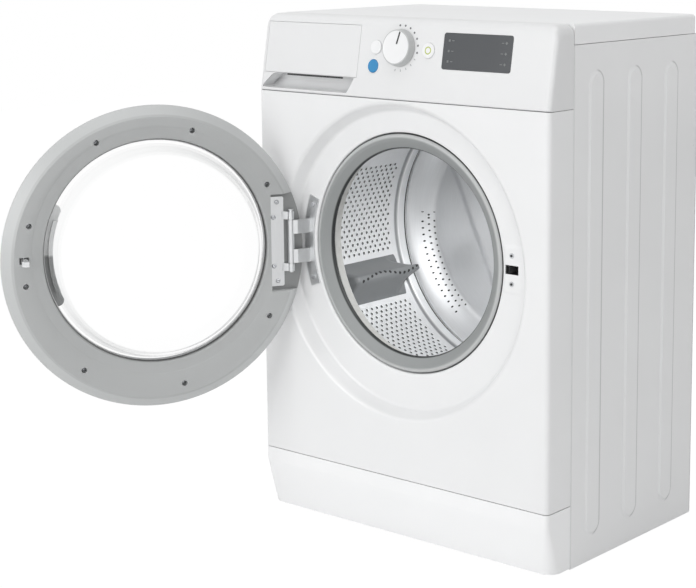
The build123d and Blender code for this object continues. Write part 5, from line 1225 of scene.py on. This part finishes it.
# %% Surround and floor
world = bpy.data.worlds.new("surround")
bpy.context.scene.world = world
world.use_nodes = True
sky = world.node_tree.nodes["Background"]
rays = Tap(world.node_tree.nodes.new("ShaderNodeLightPath").outputs["Is Camera Ray"])
outputs = rays.socket.node.outputs
seen = rays.math("MAXIMUM", rays, Tap(outputs["Is Glossy Ray"]))
seen = rays.math("MAXIMUM", seen, Tap(outputs["Is Transmission Ray"]))
ambient = 0.53
world.node_tree.links.new((ambient + seen * (1 - ambient)).socket, sky.inputs["Strength"])
sky.inputs["Color"].default_value = (1, 1, 1, 1)

floor_mesh = bpy.data.meshes.new("floor")
floor_mesh.from_pydata([(-6, -6, 0), (6, -6, 0), (6, 6, 0), (-6, 6, 0)], [], [(0, 1, 2, 3)])
floor = bpy.data.objects.new("floor", floor_mesh)
bpy.context.scene.collection.objects.link(floor)
floor_constants = {"Base_Color": (0.9, 0.9, 0.9, 1), "Roughness": 0.9}
floor_paint, floor_shader, floor_here = new_finish("floor_paint", **floor_constants)
floor_path = Tap(floor_here.node("ShaderNodeLightPath").socket.node.outputs["Is Camera Ray"])
glow = floor_here.node("ShaderNodeEmission", None, {"Color": (1, 1, 1, 1), "Strength": 1.02})
mix_inputs = {0: floor_path * 0.98, 1: Tap(floor_shader.outputs[0]), 2: glow}
mixed = floor_here.node("ShaderNodeMixShader", None, mix_inputs)
floor_end = floor_paint.node_tree.nodes["Material Output"]
floor_paint.node_tree.links.new(mixed.socket, floor_end.inputs["Surface"])
floor_mesh.materials.append(floor_paint)


# %% Lamps
def lamp(name, place, aim, size, watts, cone=None):
    """A lamp that looks from a place to an aim: a large soft disc, or a spot unseen by the camera."""
    data = bpy.data.lights.new(name, "SPOT" if cone else "AREA")
    data.energy = watts
    if cone:
        data.spot_size, data.spot_blend, data.shadow_soft_size = np.radians(cone), 0.6, size
    else:
        data.shape, data.size = "DISK", size
    made = bpy.data.objects.new(name, data)
    made.location = place
    made.rotation_euler = (Vector(aim) - Vector(place)).to_track_quat("-Z", "Y").to_euler()
    made.visible_camera = cone is None
    bpy.context.scene.collection.objects.link(made)


lamp("key", (-1.0, -4.1, 1.7), (0.0, -0.2, 0.4), 2.6, 57.0)
lamp("side", (3.2, -3.0, 1.6), (0.2, 0.0, 0.5), 1.6, 22.0)
lamp("top", (0.2, -0.6, 3.6), (0.0, 0.0, 0.8), 2.6, 24.0)
lamp("drum_lamp", (0.10, -0.03, 0.60), (-0.06, 0.0, 0.26), 0.03, 2.6, cone=118.0)

# %% [markdown]
# ## Camera
# The picture was taken from the machine's right and a little above, with a long lens. The numbers were
# fitted to the cabinet's edges, with the shift kept small: where the lens stands, how far it turns and
# dips, and the lens shift that sets the framing.

# %% Camera
lens_place = Vector((1.80259, -2.29136, 0.99982))
yaw, dip, roll = 0.68039, 0.16183, -0.00246
right = Vector((np.cos(yaw), np.sin(yaw), 0.0))
forward = Vector((-np.sin(yaw) * np.cos(dip), np.cos(yaw) * np.cos(dip), -np.sin(dip)))
upward = right.cross(forward)
c, s = np.cos(roll), np.sin(roll)
right, upward = right * c + upward * s, upward * c - right * s
camera_data = bpy.data.cameras.new("camera")
camera_data.sensor_fit = "HORIZONTAL"
camera_data.sensor_width = 36.0
camera_data.lens = 1774.06 / 696 * 36
camera_data.shift_x = -0.15
camera_data.shift_y = -0.12
camera = bpy.data.objects.new("camera", camera_data)
camera_axes = Matrix((right, upward, -forward)).transposed()
camera.matrix_world = Matrix.Translation(lens_place) @ camera_axes.to_4x4()
bpy.context.scene.collection.objects.link(camera)
bpy.context.scene.camera = camera
bpy.context.scene.view_settings.view_transform = "Standard"
